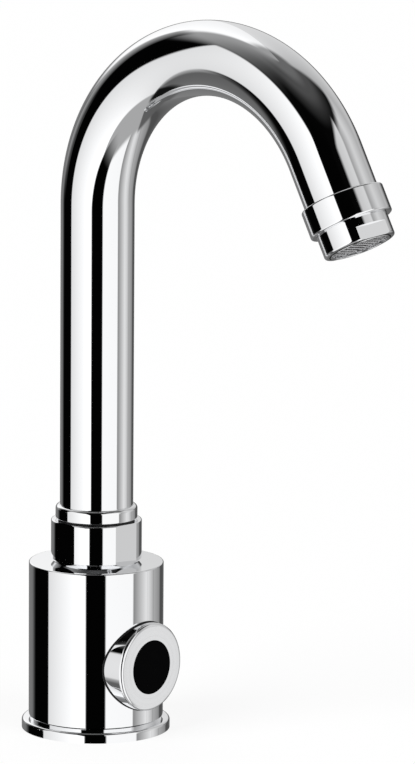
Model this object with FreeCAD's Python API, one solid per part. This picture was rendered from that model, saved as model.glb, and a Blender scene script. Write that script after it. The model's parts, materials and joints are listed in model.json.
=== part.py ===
import FreeCAD, Part
import math
import os

# Touchless swan-neck basin tap, in millimetres.
# The origin is the centre of the foot on the deck, +Z is up, and the spout and the sensor face -Y.

Vec = FreeCAD.Vector

# ---------------------------------------------------------------- driving dimensions
# Body and foot
BODY_RADIUS = 22.9
BODY_TOP_Z = 57.7
BODY_WALL = 2.9
BODY_EDGE = 0.5
ROOF_THICKNESS = 4.5
ROOF_BEVEL = 2.0
FOOT_PROUD = 2.35
FOOT_HEIGHT = 3.4
FOOT_EDGE = 0.9
FOOT_STEP_HEIGHT = 0.7
FOOT_STEP_SETBACK = 0.7
FOOT_LEDGE = 3.4
GASKET_SETBACK = 2.75
GASKET_WIDTH = 4.0
GASKET_THICKNESS = 1.6
PLATE_THICKNESS = 4.0
PLATE_SIDE_GAP = 0.10

# Swan neck
TUBE_RADIUS = 12.45
TUBE_WALL = 1.2
BEND_START_Z = 180.25
BEND_RADIUS = 53.2
BEND_ANGLE = 151.7
NOSE_STRAIGHT = 14.6

# Rings on the tube
RING_WALL = 1.45
RING_HEIGHT = 4.45
RING_EDGE = 0.7
RING_FLOOR = 1.6
COLLAR_LENGTH = 9.4
COLLAR_SOCKET_DEPTH = 3.0
COLLAR_EDGE = 0.6

# Union between body and spout
UNION_PROUD = 1.5
UNION_HEIGHT = 14.6
UNION_EDGE = 0.45
UNION_CHAMFER_INSET = 1.1
UNION_CHAMFER_HEIGHT = 1.4
UNION_FLATS = 4
UNION_FLAT_DEPTH = 0.75
UNION_FLAT_HEADING = 266.0
UNION_SHANK_WALL = 2.0
UNION_SHANK_LENGTH = 12.2
UNION_PASSAGE_STEP = 1.45
GLIDE_WASHER_THICKNESS = 0.5
GLIDE_WASHER_SETBACK = 0.9

# Ferrule that turns in the union
FERRULE_RADIUS = 7.95
FERRULE_WALL = 3.15
FERRULE_REACH = 22.2
FERRULE_END_GAP = 0.3
FERRULE_HEAD_LENGTH = 6.5
FERRULE_HEAD_LIP = 1.0
FERRULE_FUNNEL_RISE = 1.5
O_RING_SECTION_RADIUS = 0.88
O_RING_GROOVE_DEPTH = 1.75
O_RING_GROOVE_WIDTH = 2.4
O_RING_HEIGHTS = (4.0, 8.2)
SWIVEL_LIMIT = 60.0
STOP_SCREW_RADIUS = 2.0
STOP_SCREW_SINK = 0.6
STOP_TIP_RADIUS = 1.5
STOP_TIP_LENGTH = 2.2
STOP_HEADING = 86.0
STOP_HEIGHT = 7.9
STOP_GROOVE_DEPTH = 1.55
STOP_SIDE_GAP = 0.35

# Aerator
AERATOR_SETBACK = 0.4
AERATOR_THREAD_SETBACK = 0.6
AERATOR_PROJECTION = 7.6
AERATOR_THREAD_LENGTH = 5.4
AERATOR_THREAD_WALL = 1.35
AERATOR_BORE_STEP = 0.6
AERATOR_SEAT_RISE = 0.1
AERATOR_LIP_REACH = 0.3
AERATOR_LIP_THICKNESS = 0.9
AERATOR_EDGE = 0.8
AERATOR_FLAT_DEPTH = 1.45
AERATOR_FLAT_LENGTH = 4.6
AERATOR_FLAT_TURN = 17.0
AERATOR_SEAL_WIDTH = 3.2
INSERT_WALL = 1.2
INSERT_PLATE_DEPTH = 2.0
INSERT_PLATE_THICKNESS = 1.6
JET_RADIUS = 0.6
JET_RINGS = ((3.0, 6), (6.6, 12))
OUTLET_SCREEN_THICKNESS = 0.5

# Sensor, measured along its own axis from the body's axis
SENSOR_PAD_LIFT = 1.05
BEZEL_PROJECTION = 2.77
BEZEL_MARGIN = 3.1
BEZEL_EDGE = 1.2
BEZEL_SKIRT_LENGTH = 10.67
BEZEL_SEAL_THICKNESS = 0.8
BEZEL_SEAL_PROUD = 0.45
BEZEL_SEAL_WIDTH = 2.7
SPIGOT_LENGTH = 14.17
SPIGOT_WALL = 1.8
WINDOW_RADIUS = 9.2
WINDOW_LEDGE = 1.0
WINDOW_EDGE = 0.15
WINDOW_RECESS = 0.10
WINDOW_FRONT_THICKNESS = 1.6
WINDOW_RIM_THICKNESS = 1.4
WINDOW_RIM_GAP = 0.10
WINDOW_SEAL_THICKNESS = 0.4
HOUSING_LENGTH = 11.0
HOUSING_WALL = 1.1
HOUSING_FRONT_THICKNESS = 2.8
EYE_SPACING = 9.0
EYE_HOLE_RADIUS = 2.75
DIODE_RADIUS = 2.45
DIODE_LENGTH = 5.2
DIODE_NOSE_FLAT = 0.05
DIODE_COLLAR_WIDTH = 0.3
DIODE_COLLAR_HEIGHT = 0.9
BOARD_THICKNESS = 1.6
BOARD_BACK = 3.9
BOARD_KEY_DEPTH = 1.0
CHIP_SIDE = 5.0
CHIP_HEIGHT = 1.0
CHIP_CENTRE = (-2.5, 1.0)
CAPACITOR_RADIUS = 1.8
CAPACITOR_CENTRE = (3.6, 2.4)
PLUG_WIDTH = 6.0
PLUG_DEPTH = 2.6
PLUG_HEIGHT = 2.2
PLUG_WALL = 0.5
PLUG_CENTRE = (0.0, -4.7)
CAP_THICKNESS = 1.4
LEAD_NOTCH = 3.2
CLAMP_NUT_WALL = 2.9
CLAMP_NUT_THREAD_LENGTH = 3.0
CLAMP_NUT_LIP = 1.5
CLAMP_NUT_LIP_REACH = 3.7
CLAMP_NUT_NOTCH_WIDTH = 2.4
CLAMP_NUT_NOTCH_DEPTH = 1.2
CLAMP_NUT_NOTCHES = 6
CLAMP_PRESS_GAP = 0.02
PAD_MARGIN = 0.6

# Valve, hung under the roof beside the body's axis
VALVE_X = 7.0
VALVE_Y = 5.0
VALVE_HEAD_RADIUS = 11.0
VALVE_HEAD_HEIGHT = 8.0
VALVE_HEAD_OVERLAP = 0.5
VALVE_NECK_WALL = 4.2
VALVE_BLOCK_HEIGHT = 19.7
VALVE_PASSAGE_RADIUS = 8.0
SEAT_OUTER_RADIUS = 4.2
SEAT_BORE_RADIUS = 3.0
SEAT_DROP = 0.4
CHAMBER_OUTER_RADIUS = 6.4
CHAMBER_DEPTH = 4.0
CHAMBER_ROOF = 1.0
CROSS_BORE_RADIUS = 1.1
CROSS_BORE_RISE = 0.9
DIAPHRAGM_RADIUS = 8.1
DIAPHRAGM_RIM = 1.6
DIAPHRAGM_RIM_SLOPE = 0.2
DIAPHRAGM_WEB = 0.7
DIAPHRAGM_PAD_MARGIN = 0.6
DIAPHRAGM_PAD_SLOPE = 0.6
BLEED_RADIUS = 0.3
BLEED_OFFSET = 0.4
COVER_THICKNESS = 4.4
COVER_SCREW_CIRCLE = 9.55
PILOT_CHAMBER_RADIUS = 6.4
PILOT_CHAMBER_DEPTH = 1.9
PILOT_BORE_RADIUS = 0.5
PILOT_NOZZLE_RADIUS = 1.5
PILOT_NOZZLE_HEIGHT = 0.6
PILOT_NOZZLE_SLOPE = 0.5

# Solenoid under the valve
ARMATURE_TUBE_RADIUS = 4.0
ARMATURE_TUBE_WALL = 0.45
ARMATURE_FLANGE_RADIUS = 5.2
ARMATURE_FLANGE_THICKNESS = 1.0
ARMATURE_FLOOR = 1.0
ARMATURE_END_PROUD = 0.6
COIL_ROOM_ABOVE_PLATE = 2.1
PLUNGER_RADIUS = 3.4
PLUNGER_TRAVEL = 1.0
PLUNGER_END_GAP = 0.3
PLUNGER_SPRING_ROOM = 2.0
PLUNGER_GROOVE_DEPTH = 0.5
PLUNGER_GROOVE_WIDTH = 1.0
PILOT_SEAL_RADIUS = 1.7
PILOT_SEAL_THICKNESS = 1.1
PILOT_SEAL_GAP = 0.15
PILOT_SEAL_POCKET = 0.4
SPRING_RADIUS = 1.7
SPRING_WIRE_RADIUS = 0.3
SPRING_TURNS = 4.0
SPRING_BORE_RADIUS = 2.3
SPRING_BORE_DEPTH = 4.5
BOBBIN_BORE_GAP = 0.125
BOBBIN_TUBE_WALL = 0.8
BOBBIN_RADIUS = 8.1
BOBBIN_FLANGE = 0.9
WINDING_RADIUS = 7.7
YOKE_COIL_GAP = 0.2
YOKE_THICKNESS = 0.8
YOKE_WIDTH = 10.0
YOKE_CORNER = 1.5
CLIP_THICKNESS = 0.6
CLIP_RADIUS = 5.6
CLIP_GRIP_GAP = 0.02
CLIP_SLOTS = 6
CLIP_SLOT_LENGTH = 0.8
CLIP_SLOT_WIDTH = 0.6

# Fittings in the base plate
INLET_X = -9.5
INLET_Y = 5.0
INLET_THREAD_RADIUS = 3.5
INLET_BODY_RADIUS = 5.2
INLET_FLANGE_RADIUS = 6.2
INLET_FLANGE_THICKNESS = 1.4
INLET_MOUTH_Z = 1.6
INLET_THREAD_LENGTH = 6.5
INLET_NECK_RADIUS = 4.9
INLET_NECK_HEIGHT = 3.6
FILTER_RADIUS = 3.2
FILTER_THICKNESS = 0.6
FILTER_HOLE_RADIUS = 0.4
FILTER_RINGS = ((0.9, 3), (2.2, 8))
RISER_RADIUS = 3.5
RISER_BORE_RADIUS = 2.5
RISER_SOCKET_DEPTH = 1.6
RISER_BOSS_WALL = 1.6
STUD_HOLE_RADIUS = 2.5
STUD_BOSS_RADIUS = 4.2
STUD_BOSS_HEIGHT = 2.4
STUD_BOSS_ROOF = 1.0
STUD_MOUTH_Z = 1.0
LEAD_X = 11.0
LEAD_Y = 1.5
LEAD_BORE_RADIUS = 1.8
GROMMET_NECK_RADIUS = 3.4
GROMMET_LIP_RADIUS = 4.3
GROMMET_LIP_THICKNESS = 1.1
LUG_HEADINGS = (90.0, 210.0, 330.0)
LUG_RADIUS = 3.1
LUG_HEIGHT = 4.4

# Screws
PLATE_SCREW_RADIUS = 1.2
PLATE_SCREW_HEAD_RADIUS = 2.8
PLATE_SCREW_HEAD_HEIGHT = 1.7
PLATE_SCREW_LENGTH = 7.2
COVER_SCREW_RADIUS = 1.1
COVER_SCREW_HEAD_RADIUS = 1.6
COVER_SCREW_HEAD_HEIGHT = 1.5
COVER_SCREW_BITE = 4.5
COVER_SCREW_COUNT = 4
KEY_ACROSS_FLATS = 2.0
PLATE_KEY_DEPTH = 1.0
STOP_KEY_DEPTH = 1.6
RECESS_REACH = 1.0
RECESS_WIDTH = 0.5
RECESS_DEPTH = 0.8

# Broken edges on inner pieces, and how far a cutting tool runs past its work
EDGE_BREAK = 0.4
FINE_EDGE_BREAK = 0.2
TOOL_OVERRUN = 0.5

# Named clearances
SCREW_FIT = 0.05
THREAD_FIT = 0.05
RUNNING_FIT = 0.05
SOCKET_FIT = 0.05
SEAL_SQUEEZE = 0.02
WASHER_RUN_GAP = 0.08
HOLE_CLEARANCE = 0.25

# ---------------------------------------------------------------- sizes that follow from them
FOOT_RADIUS = BODY_RADIUS + FOOT_PROUD
CAVITY_RADIUS = BODY_RADIUS - BODY_WALL
FOOT_BORE_RADIUS = CAVITY_RADIUS - FOOT_LEDGE
GASKET_OUTER_RADIUS = FOOT_RADIUS - GASKET_SETBACK
GASKET_INNER_RADIUS = GASKET_OUTER_RADIUS - GASKET_WIDTH
PLATE_RADIUS = CAVITY_RADIUS - PLATE_SIDE_GAP
LUG_CIRCLE = CAVITY_RADIUS - LUG_RADIUS

TUBE_BORE_RADIUS = TUBE_RADIUS - TUBE_WALL
RING_RADIUS = TUBE_RADIUS + RING_WALL
UNION_RADIUS = RING_RADIUS + UNION_PROUD
UNION_FLAT_RADIUS = UNION_RADIUS - UNION_FLAT_DEPTH
GLIDE_WASHER_RADIUS = RING_RADIUS - GLIDE_WASHER_SETBACK
UNION_SHANK_RADIUS = FERRULE_RADIUS + UNION_SHANK_WALL
UNION_PASSAGE_RADIUS = FERRULE_RADIUS - UNION_PASSAGE_STEP
VALVE_NECK_RADIUS = UNION_SHANK_RADIUS + VALVE_NECK_WALL
FERRULE_BORE_RADIUS = FERRULE_RADIUS - FERRULE_WALL
O_RING_GROOVE_RADIUS = FERRULE_RADIUS - O_RING_GROOVE_DEPTH
STOP_GROOVE_RADIUS = FERRULE_RADIUS - STOP_GROOVE_DEPTH

AERATOR_RADIUS = TUBE_RADIUS - AERATOR_SETBACK
AERATOR_THREAD_RADIUS = TUBE_RADIUS - AERATOR_THREAD_SETBACK
AERATOR_WALL_RADIUS = AERATOR_THREAD_RADIUS - AERATOR_THREAD_WALL
AERATOR_BORE_RADIUS = AERATOR_WALL_RADIUS - AERATOR_BORE_STEP
AERATOR_LIP_RADIUS = AERATOR_BORE_RADIUS - AERATOR_LIP_REACH
INSERT_RADIUS = AERATOR_BORE_RADIUS - SOCKET_FIT

SENSOR_FACE = BODY_RADIUS + BEZEL_PROJECTION
BEZEL_SKIRT_START = SENSOR_FACE - BEZEL_SKIRT_LENGTH
SPIGOT_END = SENSOR_FACE - SPIGOT_LENGTH
SPIGOT_BORE_RADIUS = WINDOW_RADIUS + WINDOW_LEDGE
SPIGOT_RADIUS = SPIGOT_BORE_RADIUS + SPIGOT_WALL
BEZEL_RADIUS = SPIGOT_RADIUS + BEZEL_MARGIN
CLAMP_NUT_RADIUS = SPIGOT_RADIUS + CLAMP_NUT_WALL
CLAMP_NUT_LIP_RADIUS = SPIGOT_BORE_RADIUS - CLAMP_NUT_LIP_REACH
PAD_RADIUS = CLAMP_NUT_RADIUS + PAD_MARGIN
CLAMP_SEAT = SPIGOT_END + CLAMP_NUT_THREAD_LENGTH
WINDOW_FRONT = SENSOR_FACE - WINDOW_RECESS
WINDOW_STEP = WINDOW_FRONT - WINDOW_FRONT_THICKNESS
WINDOW_BACK = WINDOW_STEP - WINDOW_RIM_THICKNESS
BEZEL_STEP = WINDOW_STEP + WINDOW_SEAL_THICKNESS
HOUSING_RADIUS = SPIGOT_BORE_RADIUS - WINDOW_RIM_GAP
HOUSING_BACK = WINDOW_BACK - HOUSING_LENGTH
BOARD_RADIUS = HOUSING_RADIUS - HOUSING_WALL - WINDOW_RIM_GAP
BOARD_BACK_FACE = HOUSING_BACK + BOARD_BACK
BOARD_FRONT_FACE = BOARD_BACK_FACE + BOARD_THICKNESS

# Heights
BODY_BASE_Z = FOOT_HEIGHT + FOOT_STEP_HEIGHT
ROOF_Z = BODY_TOP_Z - ROOF_THICKNESS
PLATE_TOP_Z = BODY_BASE_Z + PLATE_THICKNESS
SENSOR_HEIGHT = PLATE_TOP_Z + PAD_RADIUS + SENSOR_PAD_LIFT
UNION_TOP_Z = BODY_TOP_Z + UNION_HEIGHT
RING_Z = UNION_TOP_Z + GLIDE_WASHER_THICKNESS + WASHER_RUN_GAP
TUBE_BASE_Z = RING_Z + RING_FLOOR
FERRULE_END_Z = UNION_TOP_Z - FERRULE_REACH
UNION_END_Z = BODY_TOP_Z - UNION_SHANK_LENGTH
STOP_Z = BODY_TOP_Z + STOP_HEIGHT
INLET_FILTER_Z = INLET_MOUTH_Z + INLET_THREAD_LENGTH
INLET_FILTER_TOP_Z = INLET_FILTER_Z + FILTER_THICKNESS
INLET_TOP_Z = PLATE_TOP_Z + INLET_FLANGE_THICKNESS + INLET_NECK_HEIGHT
STUD_BOSS_TOP_Z = PLATE_TOP_Z + STUD_BOSS_HEIGHT

BLOCK_BASE_Z = ROOF_Z - VALVE_BLOCK_HEIGHT
HEAD_TOP_Z = BLOCK_BASE_Z + VALVE_HEAD_HEIGHT
DIAPHRAGM_BASE_Z = BLOCK_BASE_Z - DIAPHRAGM_RIM
COVER_BASE_Z = DIAPHRAGM_BASE_Z - COVER_THICKNESS
NOZZLE_TIP_Z = COVER_BASE_Z - PILOT_NOZZLE_HEIGHT
ARMATURE_BASE_Z = PLATE_TOP_Z + COIL_ROOM_ABOVE_PLATE
ARMATURE_FLOOR_Z = ARMATURE_BASE_Z + ARMATURE_FLOOR
ARMATURE_BORE_RADIUS = ARMATURE_TUBE_RADIUS - ARMATURE_TUBE_WALL
YOKE_BASE_Z = ARMATURE_BASE_Z + ARMATURE_END_PROUD + CLIP_THICKNESS
YOKE_TOP_Z = COVER_BASE_Z - ARMATURE_FLANGE_THICKNESS
BOBBIN_BASE_Z = YOKE_BASE_Z + YOKE_THICKNESS
BOBBIN_TOP_Z = YOKE_TOP_Z - YOKE_THICKNESS
BOBBIN_BORE_RADIUS = ARMATURE_TUBE_RADIUS + BOBBIN_BORE_GAP
BOBBIN_CORE_RADIUS = BOBBIN_BORE_RADIUS + BOBBIN_TUBE_WALL
PILOT_SEAL_TOP_Z = NOZZLE_TIP_Z - PILOT_SEAL_GAP
PLUNGER_TOP_Z = PILOT_SEAL_TOP_Z - PILOT_SEAL_THICKNESS
PLUNGER_BASE_Z = ARMATURE_FLOOR_Z + PLUNGER_TRAVEL + PLUNGER_END_GAP + PLUNGER_SPRING_ROOM

# ---------------------------------------------------------------- frames
# Sensor frame: its own Z points out of the window, its own Y points up.
SENSOR_FRAME = FreeCAD.Placement(
    Vec(0, 0, SENSOR_HEIGHT),
    FreeCAD.Rotation(Vec(1, 0, 0), Vec(0, 0, 1), Vec(0, -1, 0), "ZXY"))

# Nose frame: it starts where the bend ends, its own Z points along the water, its own Y to the front.
BEND = math.radians(BEND_ANGLE)
NOSE_AXIS = Vec(0, -math.sin(BEND), math.cos(BEND))
NOSE_START = Vec(0, -BEND_RADIUS * (1 - math.cos(BEND)), BEND_START_Z + BEND_RADIUS * math.sin(BEND))
NOSE_FRAME = FreeCAD.Placement(
    NOSE_START,
    FreeCAD.Rotation(Vec(1, 0, 0), NOSE_AXIS.cross(Vec(1, 0, 0)), NOSE_AXIS, "ZXY"))
COLLAR_START = NOSE_STRAIGHT
COLLAR_END = NOSE_STRAIGHT + COLLAR_LENGTH
NOSE_TIP = COLLAR_END + AERATOR_PROJECTION


# ---------------------------------------------------------------- shape helpers
def outline_face(points, place):
    """Flat face inside a closed outline.

    A third number in a point rounds its corner to that radius; "bevel" after it cuts it straight."""
    corners = []
    for index, point in enumerate(points):
        here = Vec(point[0], point[1], 0)
        if len(point) < 3:
            corners.append((here, None, here))
            continue
        before = points[index - 1]
        after = points[(index + 1) % len(points)]
        back = (Vec(before[0], before[1], 0) - here).normalize()
        ahead = (Vec(after[0], after[1], 0) - here).normalize()
        inward = (back + ahead).normalize()
        half_angle = back.getAngle(ahead) / 2
        reach = point[2] / math.tan(half_angle)
        centre = here + inward * (point[2] / math.sin(half_angle))
        middle = centre - inward * point[2] if len(point) == 3 else None
        corners.append((here + back * reach, middle, here + ahead * reach))
    edges = []
    for index, (start, middle, end) in enumerate(corners):
        if middle is not None:
            edges.append(Part.Arc(place(start), place(middle), place(end)).toShape())
        elif start != end:
            edges.append(Part.LineSegment(place(start), place(end)).toShape())
        following = corners[(index + 1) % len(corners)][0]
        if end.distanceToPoint(following) > 1e-6:
            edges.append(Part.LineSegment(place(end), place(following)).toShape())
    return Part.Face(Part.Wire(edges))


def turned(points, x=0.0, y=0.0):
    """Solid turned about the vertical through (x, y) from an outline of (radius, height) points."""
    face = outline_face(points, lambda point: Vec(x + point.x, y, point.y))
    return face.revolve(Vec(x, y, 0), Vec(0, 0, 1), 360)


def rod(radius, low, high, x=0.0, y=0.0):
    return Part.makeCylinder(radius, high - low, Vec(x, y, low))


def sleeve(outer, inner, low, high, x=0.0, y=0.0):
    return rod(outer, low, high, x, y).cut(rod(inner, low, high, x, y))


def slab(x_range, y_range, z_range):
    corner = Vec(x_range[0], y_range[0], z_range[0])
    size = (x_range[1] - x_range[0], y_range[1] - y_range[0], z_range[1] - z_range[0])
    return Part.makeBox(size[0], size[1], size[2], corner)


def moved(shape, frame):
    """The shape carried from the origin into a frame."""
    copy = shape.copy()
    copy.Placement = frame.multiply(copy.Placement)
    return copy


def shift(x, y):
    return FreeCAD.Placement(Vec(x, y, 0), FreeCAD.Rotation())


def headed(shape, heading):
    """The shape turned about the body's axis, where heading 0 is +X."""
    copy = shape.copy()
    copy.rotate(Vec(0, 0, 0), Vec(0, 0, 1), heading)
    return copy


def on_circle(radius, heading):
    angle = math.radians(heading)
    return radius * math.cos(angle), radius * math.sin(angle)


def round_pattern(rings):
    """Places on rings about the origin, from (radius, count) pairs."""
    places = []
    for radius, count in rings:
        for step in range(count):
            places.append(on_circle(radius, 360.0 * step / count))
    return places


def lug_places():
    """Heading and centre of each screw lug in the body."""
    return [(heading,) + on_circle(LUG_CIRCLE, heading) for heading in LUG_HEADINGS]


def hexagon(across_flats, low, high, flat_heading):
    """Upright hexagonal bar about the origin, with one flat square to the heading."""
    corner_radius = across_flats / 2 / math.cos(math.radians(30))
    points = []
    for side in range(7):
        x, y = on_circle(corner_radius, flat_heading + 30 + 60 * side)
        points.append(Vec(x, y, low))
    return Part.Face(Part.makePolygon(points)).extrude(Vec(0, 0, high - low))


def one_solid(shape):
    """A boolean's result as its one clean solid."""
    return shape.removeSplitter().Solids[0]


# ---------------------------------------------------------------- foot and body
def base_flange():
    """Foot ring: a stepped escutcheon with a groove for the gasket on its underside."""
    step_radius = BODY_RADIUS - FOOT_STEP_SETBACK
    return turned([
        (GASKET_OUTER_RADIUS, 0),
        (FOOT_RADIUS, 0),
        (FOOT_RADIUS, FOOT_HEIGHT, FOOT_EDGE),
        (step_radius, FOOT_HEIGHT),
        (step_radius, BODY_BASE_Z),
        (FOOT_BORE_RADIUS, BODY_BASE_Z),
        (FOOT_BORE_RADIUS, 0),
        (GASKET_INNER_RADIUS, 0),
        (GASKET_INNER_RADIUS, GASKET_THICKNESS),
        (GASKET_OUTER_RADIUS, GASKET_THICKNESS),
    ])


def deck_gasket():
    """Flat rubber ring that fills the foot's groove and seals to the deck."""
    return sleeve(GASKET_OUTER_RADIUS, GASKET_INNER_RADIUS, 0, GASKET_THICKNESS)


def body_shell():
    """Plated casting: open below, with a roof for the union, a pad for the sensor and three screw lugs."""
    roof_hole = UNION_SHANK_RADIUS + HOLE_CLEARANCE
    casting = turned([
        (BODY_RADIUS, BODY_BASE_Z, BODY_EDGE, "bevel"),
        (BODY_RADIUS, BODY_TOP_Z, BODY_EDGE),
        (roof_hole, BODY_TOP_Z),
        (roof_hole, ROOF_Z),
        (CAVITY_RADIUS, ROOF_Z, ROOF_BEVEL, "bevel"),
        (CAVITY_RADIUS, BODY_BASE_Z),
    ])
    inside = rod(BODY_RADIUS - BODY_WALL / 2, BODY_BASE_Z, BODY_TOP_Z)
    pad = moved(rod(PAD_RADIUS, CLAMP_SEAT, BODY_RADIUS), SENSOR_FRAME).common(inside)
    casting = casting.fuse(pad)
    lug_top = PLATE_TOP_Z + LUG_HEIGHT
    screw_hole_top = BODY_BASE_Z + PLATE_SCREW_LENGTH + TOOL_OVERRUN
    for heading, x, y in lug_places():
        lug = rod(LUG_RADIUS, PLATE_TOP_Z, lug_top, x, y)
        rib = slab((LUG_CIRCLE, BODY_RADIUS), (-LUG_RADIUS, LUG_RADIUS), (PLATE_TOP_Z, lug_top))
        casting = casting.fuse(lug.fuse(headed(rib, heading)).common(inside))
    for heading, x, y in lug_places():
        casting = casting.cut(rod(PLATE_SCREW_RADIUS + SCREW_FIT, PLATE_TOP_Z, screw_hole_top, x, y))
    bore = rod(SPIGOT_RADIUS + SOCKET_FIT, CLAMP_SEAT - TOOL_OVERRUN, BODY_RADIUS + TOOL_OVERRUN)
    spot_face = rod(CLAMP_NUT_RADIUS + HOLE_CLEARANCE, 0, CLAMP_SEAT)
    return one_solid(casting.cut(moved(bore.fuse(spot_face), SENSOR_FRAME)))


def base_plate():
    """Brass plate that closes the cavity and takes the stud, the inlet and the lead."""
    plate = rod(PLATE_RADIUS, BODY_BASE_Z, PLATE_TOP_Z)
    boss = turned([
        (0, STUD_MOUTH_Z),
        (STUD_BOSS_RADIUS, STUD_MOUTH_Z, EDGE_BREAK, "bevel"),
        (STUD_BOSS_RADIUS, STUD_BOSS_TOP_Z, EDGE_BREAK, "bevel"),
        (0, STUD_BOSS_TOP_Z),
    ])
    plate = plate.fuse(boss)
    plate = plate.cut(rod(STUD_HOLE_RADIUS, STUD_MOUTH_Z, STUD_BOSS_TOP_Z - STUD_BOSS_ROOF))
    plate = plate.cut(rod(INLET_BODY_RADIUS + THREAD_FIT, BODY_BASE_Z, PLATE_TOP_Z, INLET_X, INLET_Y))
    plate = plate.cut(rod(GROMMET_NECK_RADIUS, BODY_BASE_Z, PLATE_TOP_Z, LEAD_X, LEAD_Y))
    hole = PLATE_SCREW_RADIUS + HOLE_CLEARANCE
    sink = PLATE_SCREW_HEAD_RADIUS + SCREW_FIT
    for heading, x, y in lug_places():
        plate = plate.cut(turned([
            (0, BODY_BASE_Z),
            (sink, BODY_BASE_Z),
            (hole, BODY_BASE_Z + PLATE_SCREW_HEAD_HEIGHT),
            (hole, PLATE_TOP_Z),
            (0, PLATE_TOP_Z),
        ], x, y))
    return one_solid(plate)


def plate_screws():
    """Three countersunk screws, driven up through the plate into the casting's lugs."""
    screws = []
    head = BODY_BASE_Z + SCREW_FIT
    for heading, x, y in lug_places():
        screw = turned([
            (0, head),
            (PLATE_SCREW_HEAD_RADIUS - SCREW_FIT, head),
            (PLATE_SCREW_RADIUS, head + PLATE_SCREW_HEAD_HEIGHT),
            (PLATE_SCREW_RADIUS, head + PLATE_SCREW_LENGTH),
            (0, head + PLATE_SCREW_LENGTH),
        ], x, y)
        key = hexagon(KEY_ACROSS_FLATS, head, head + PLATE_KEY_DEPTH, heading)
        screws.append(screw.cut(moved(key, shift(x, y))))
    return Part.makeCompound(screws)


def inlet_fitting():
    """Brass inlet: hose thread below the plate, filter seat above it, flange, neck for the riser."""
    flange_z = PLATE_TOP_Z + INLET_FLANGE_THICKNESS
    socket_z = INLET_TOP_Z - RISER_SOCKET_DEPTH
    return turned([
        (INLET_THREAD_RADIUS, INLET_MOUTH_Z),
        (INLET_BODY_RADIUS, INLET_MOUTH_Z, EDGE_BREAK, "bevel"),
        (INLET_BODY_RADIUS, PLATE_TOP_Z),
        (INLET_FLANGE_RADIUS, PLATE_TOP_Z),
        (INLET_FLANGE_RADIUS, flange_z, EDGE_BREAK, "bevel"),
        (INLET_NECK_RADIUS, flange_z),
        (INLET_NECK_RADIUS, INLET_TOP_Z, EDGE_BREAK, "bevel"),
        (RISER_RADIUS + SOCKET_FIT, INLET_TOP_Z),
        (RISER_RADIUS + SOCKET_FIT, socket_z),
        (RISER_BORE_RADIUS, socket_z),
        (RISER_BORE_RADIUS, INLET_FILTER_TOP_Z),
        (FILTER_RADIUS + SOCKET_FIT, INLET_FILTER_TOP_Z),
        (FILTER_RADIUS + SOCKET_FIT, INLET_FILTER_Z),
        (INLET_THREAD_RADIUS, INLET_FILTER_Z),
    ], INLET_X, INLET_Y)


def inlet_filter():
    """Filter disc pressed into its seat above the hose thread, with a round pattern of holes."""
    disc = rod(FILTER_RADIUS, INLET_FILTER_Z, INLET_FILTER_TOP_Z, INLET_X, INLET_Y)
    holes = []
    for x, y in round_pattern(FILTER_RINGS):
        holes.append(rod(FILTER_HOLE_RADIUS, INLET_FILTER_Z, INLET_FILTER_TOP_Z, INLET_X + x, INLET_Y + y))
    return one_solid(disc.cut(Part.makeCompound(holes)))


def riser_pipe():
    """Copper pipe from the inlet up to the valve block."""
    low = INLET_TOP_Z - RISER_SOCKET_DEPTH
    high = BLOCK_BASE_Z + RISER_SOCKET_DEPTH
    return sleeve(RISER_RADIUS, RISER_BORE_RADIUS, low, high, INLET_X, INLET_Y)


def lead_grommet():
    """Rubber grommet in the base plate, with the hole that the sensor's lead passes through."""
    return turned([
        (LEAD_BORE_RADIUS, BODY_BASE_Z - GROMMET_LIP_THICKNESS),
        (GROMMET_LIP_RADIUS, BODY_BASE_Z - GROMMET_LIP_THICKNESS, EDGE_BREAK, "bevel"),
        (GROMMET_LIP_RADIUS, BODY_BASE_Z),
        (GROMMET_NECK_RADIUS, BODY_BASE_Z),
        (GROMMET_NECK_RADIUS, PLATE_TOP_Z),
        (GROMMET_LIP_RADIUS, PLATE_TOP_Z),
        (GROMMET_LIP_RADIUS, PLATE_TOP_Z + GROMMET_LIP_THICKNESS, EDGE_BREAK, "bevel"),
        (LEAD_BORE_RADIUS, PLATE_TOP_Z + GROMMET_LIP_THICKNESS),
    ], LEAD_X, LEAD_Y)


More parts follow.
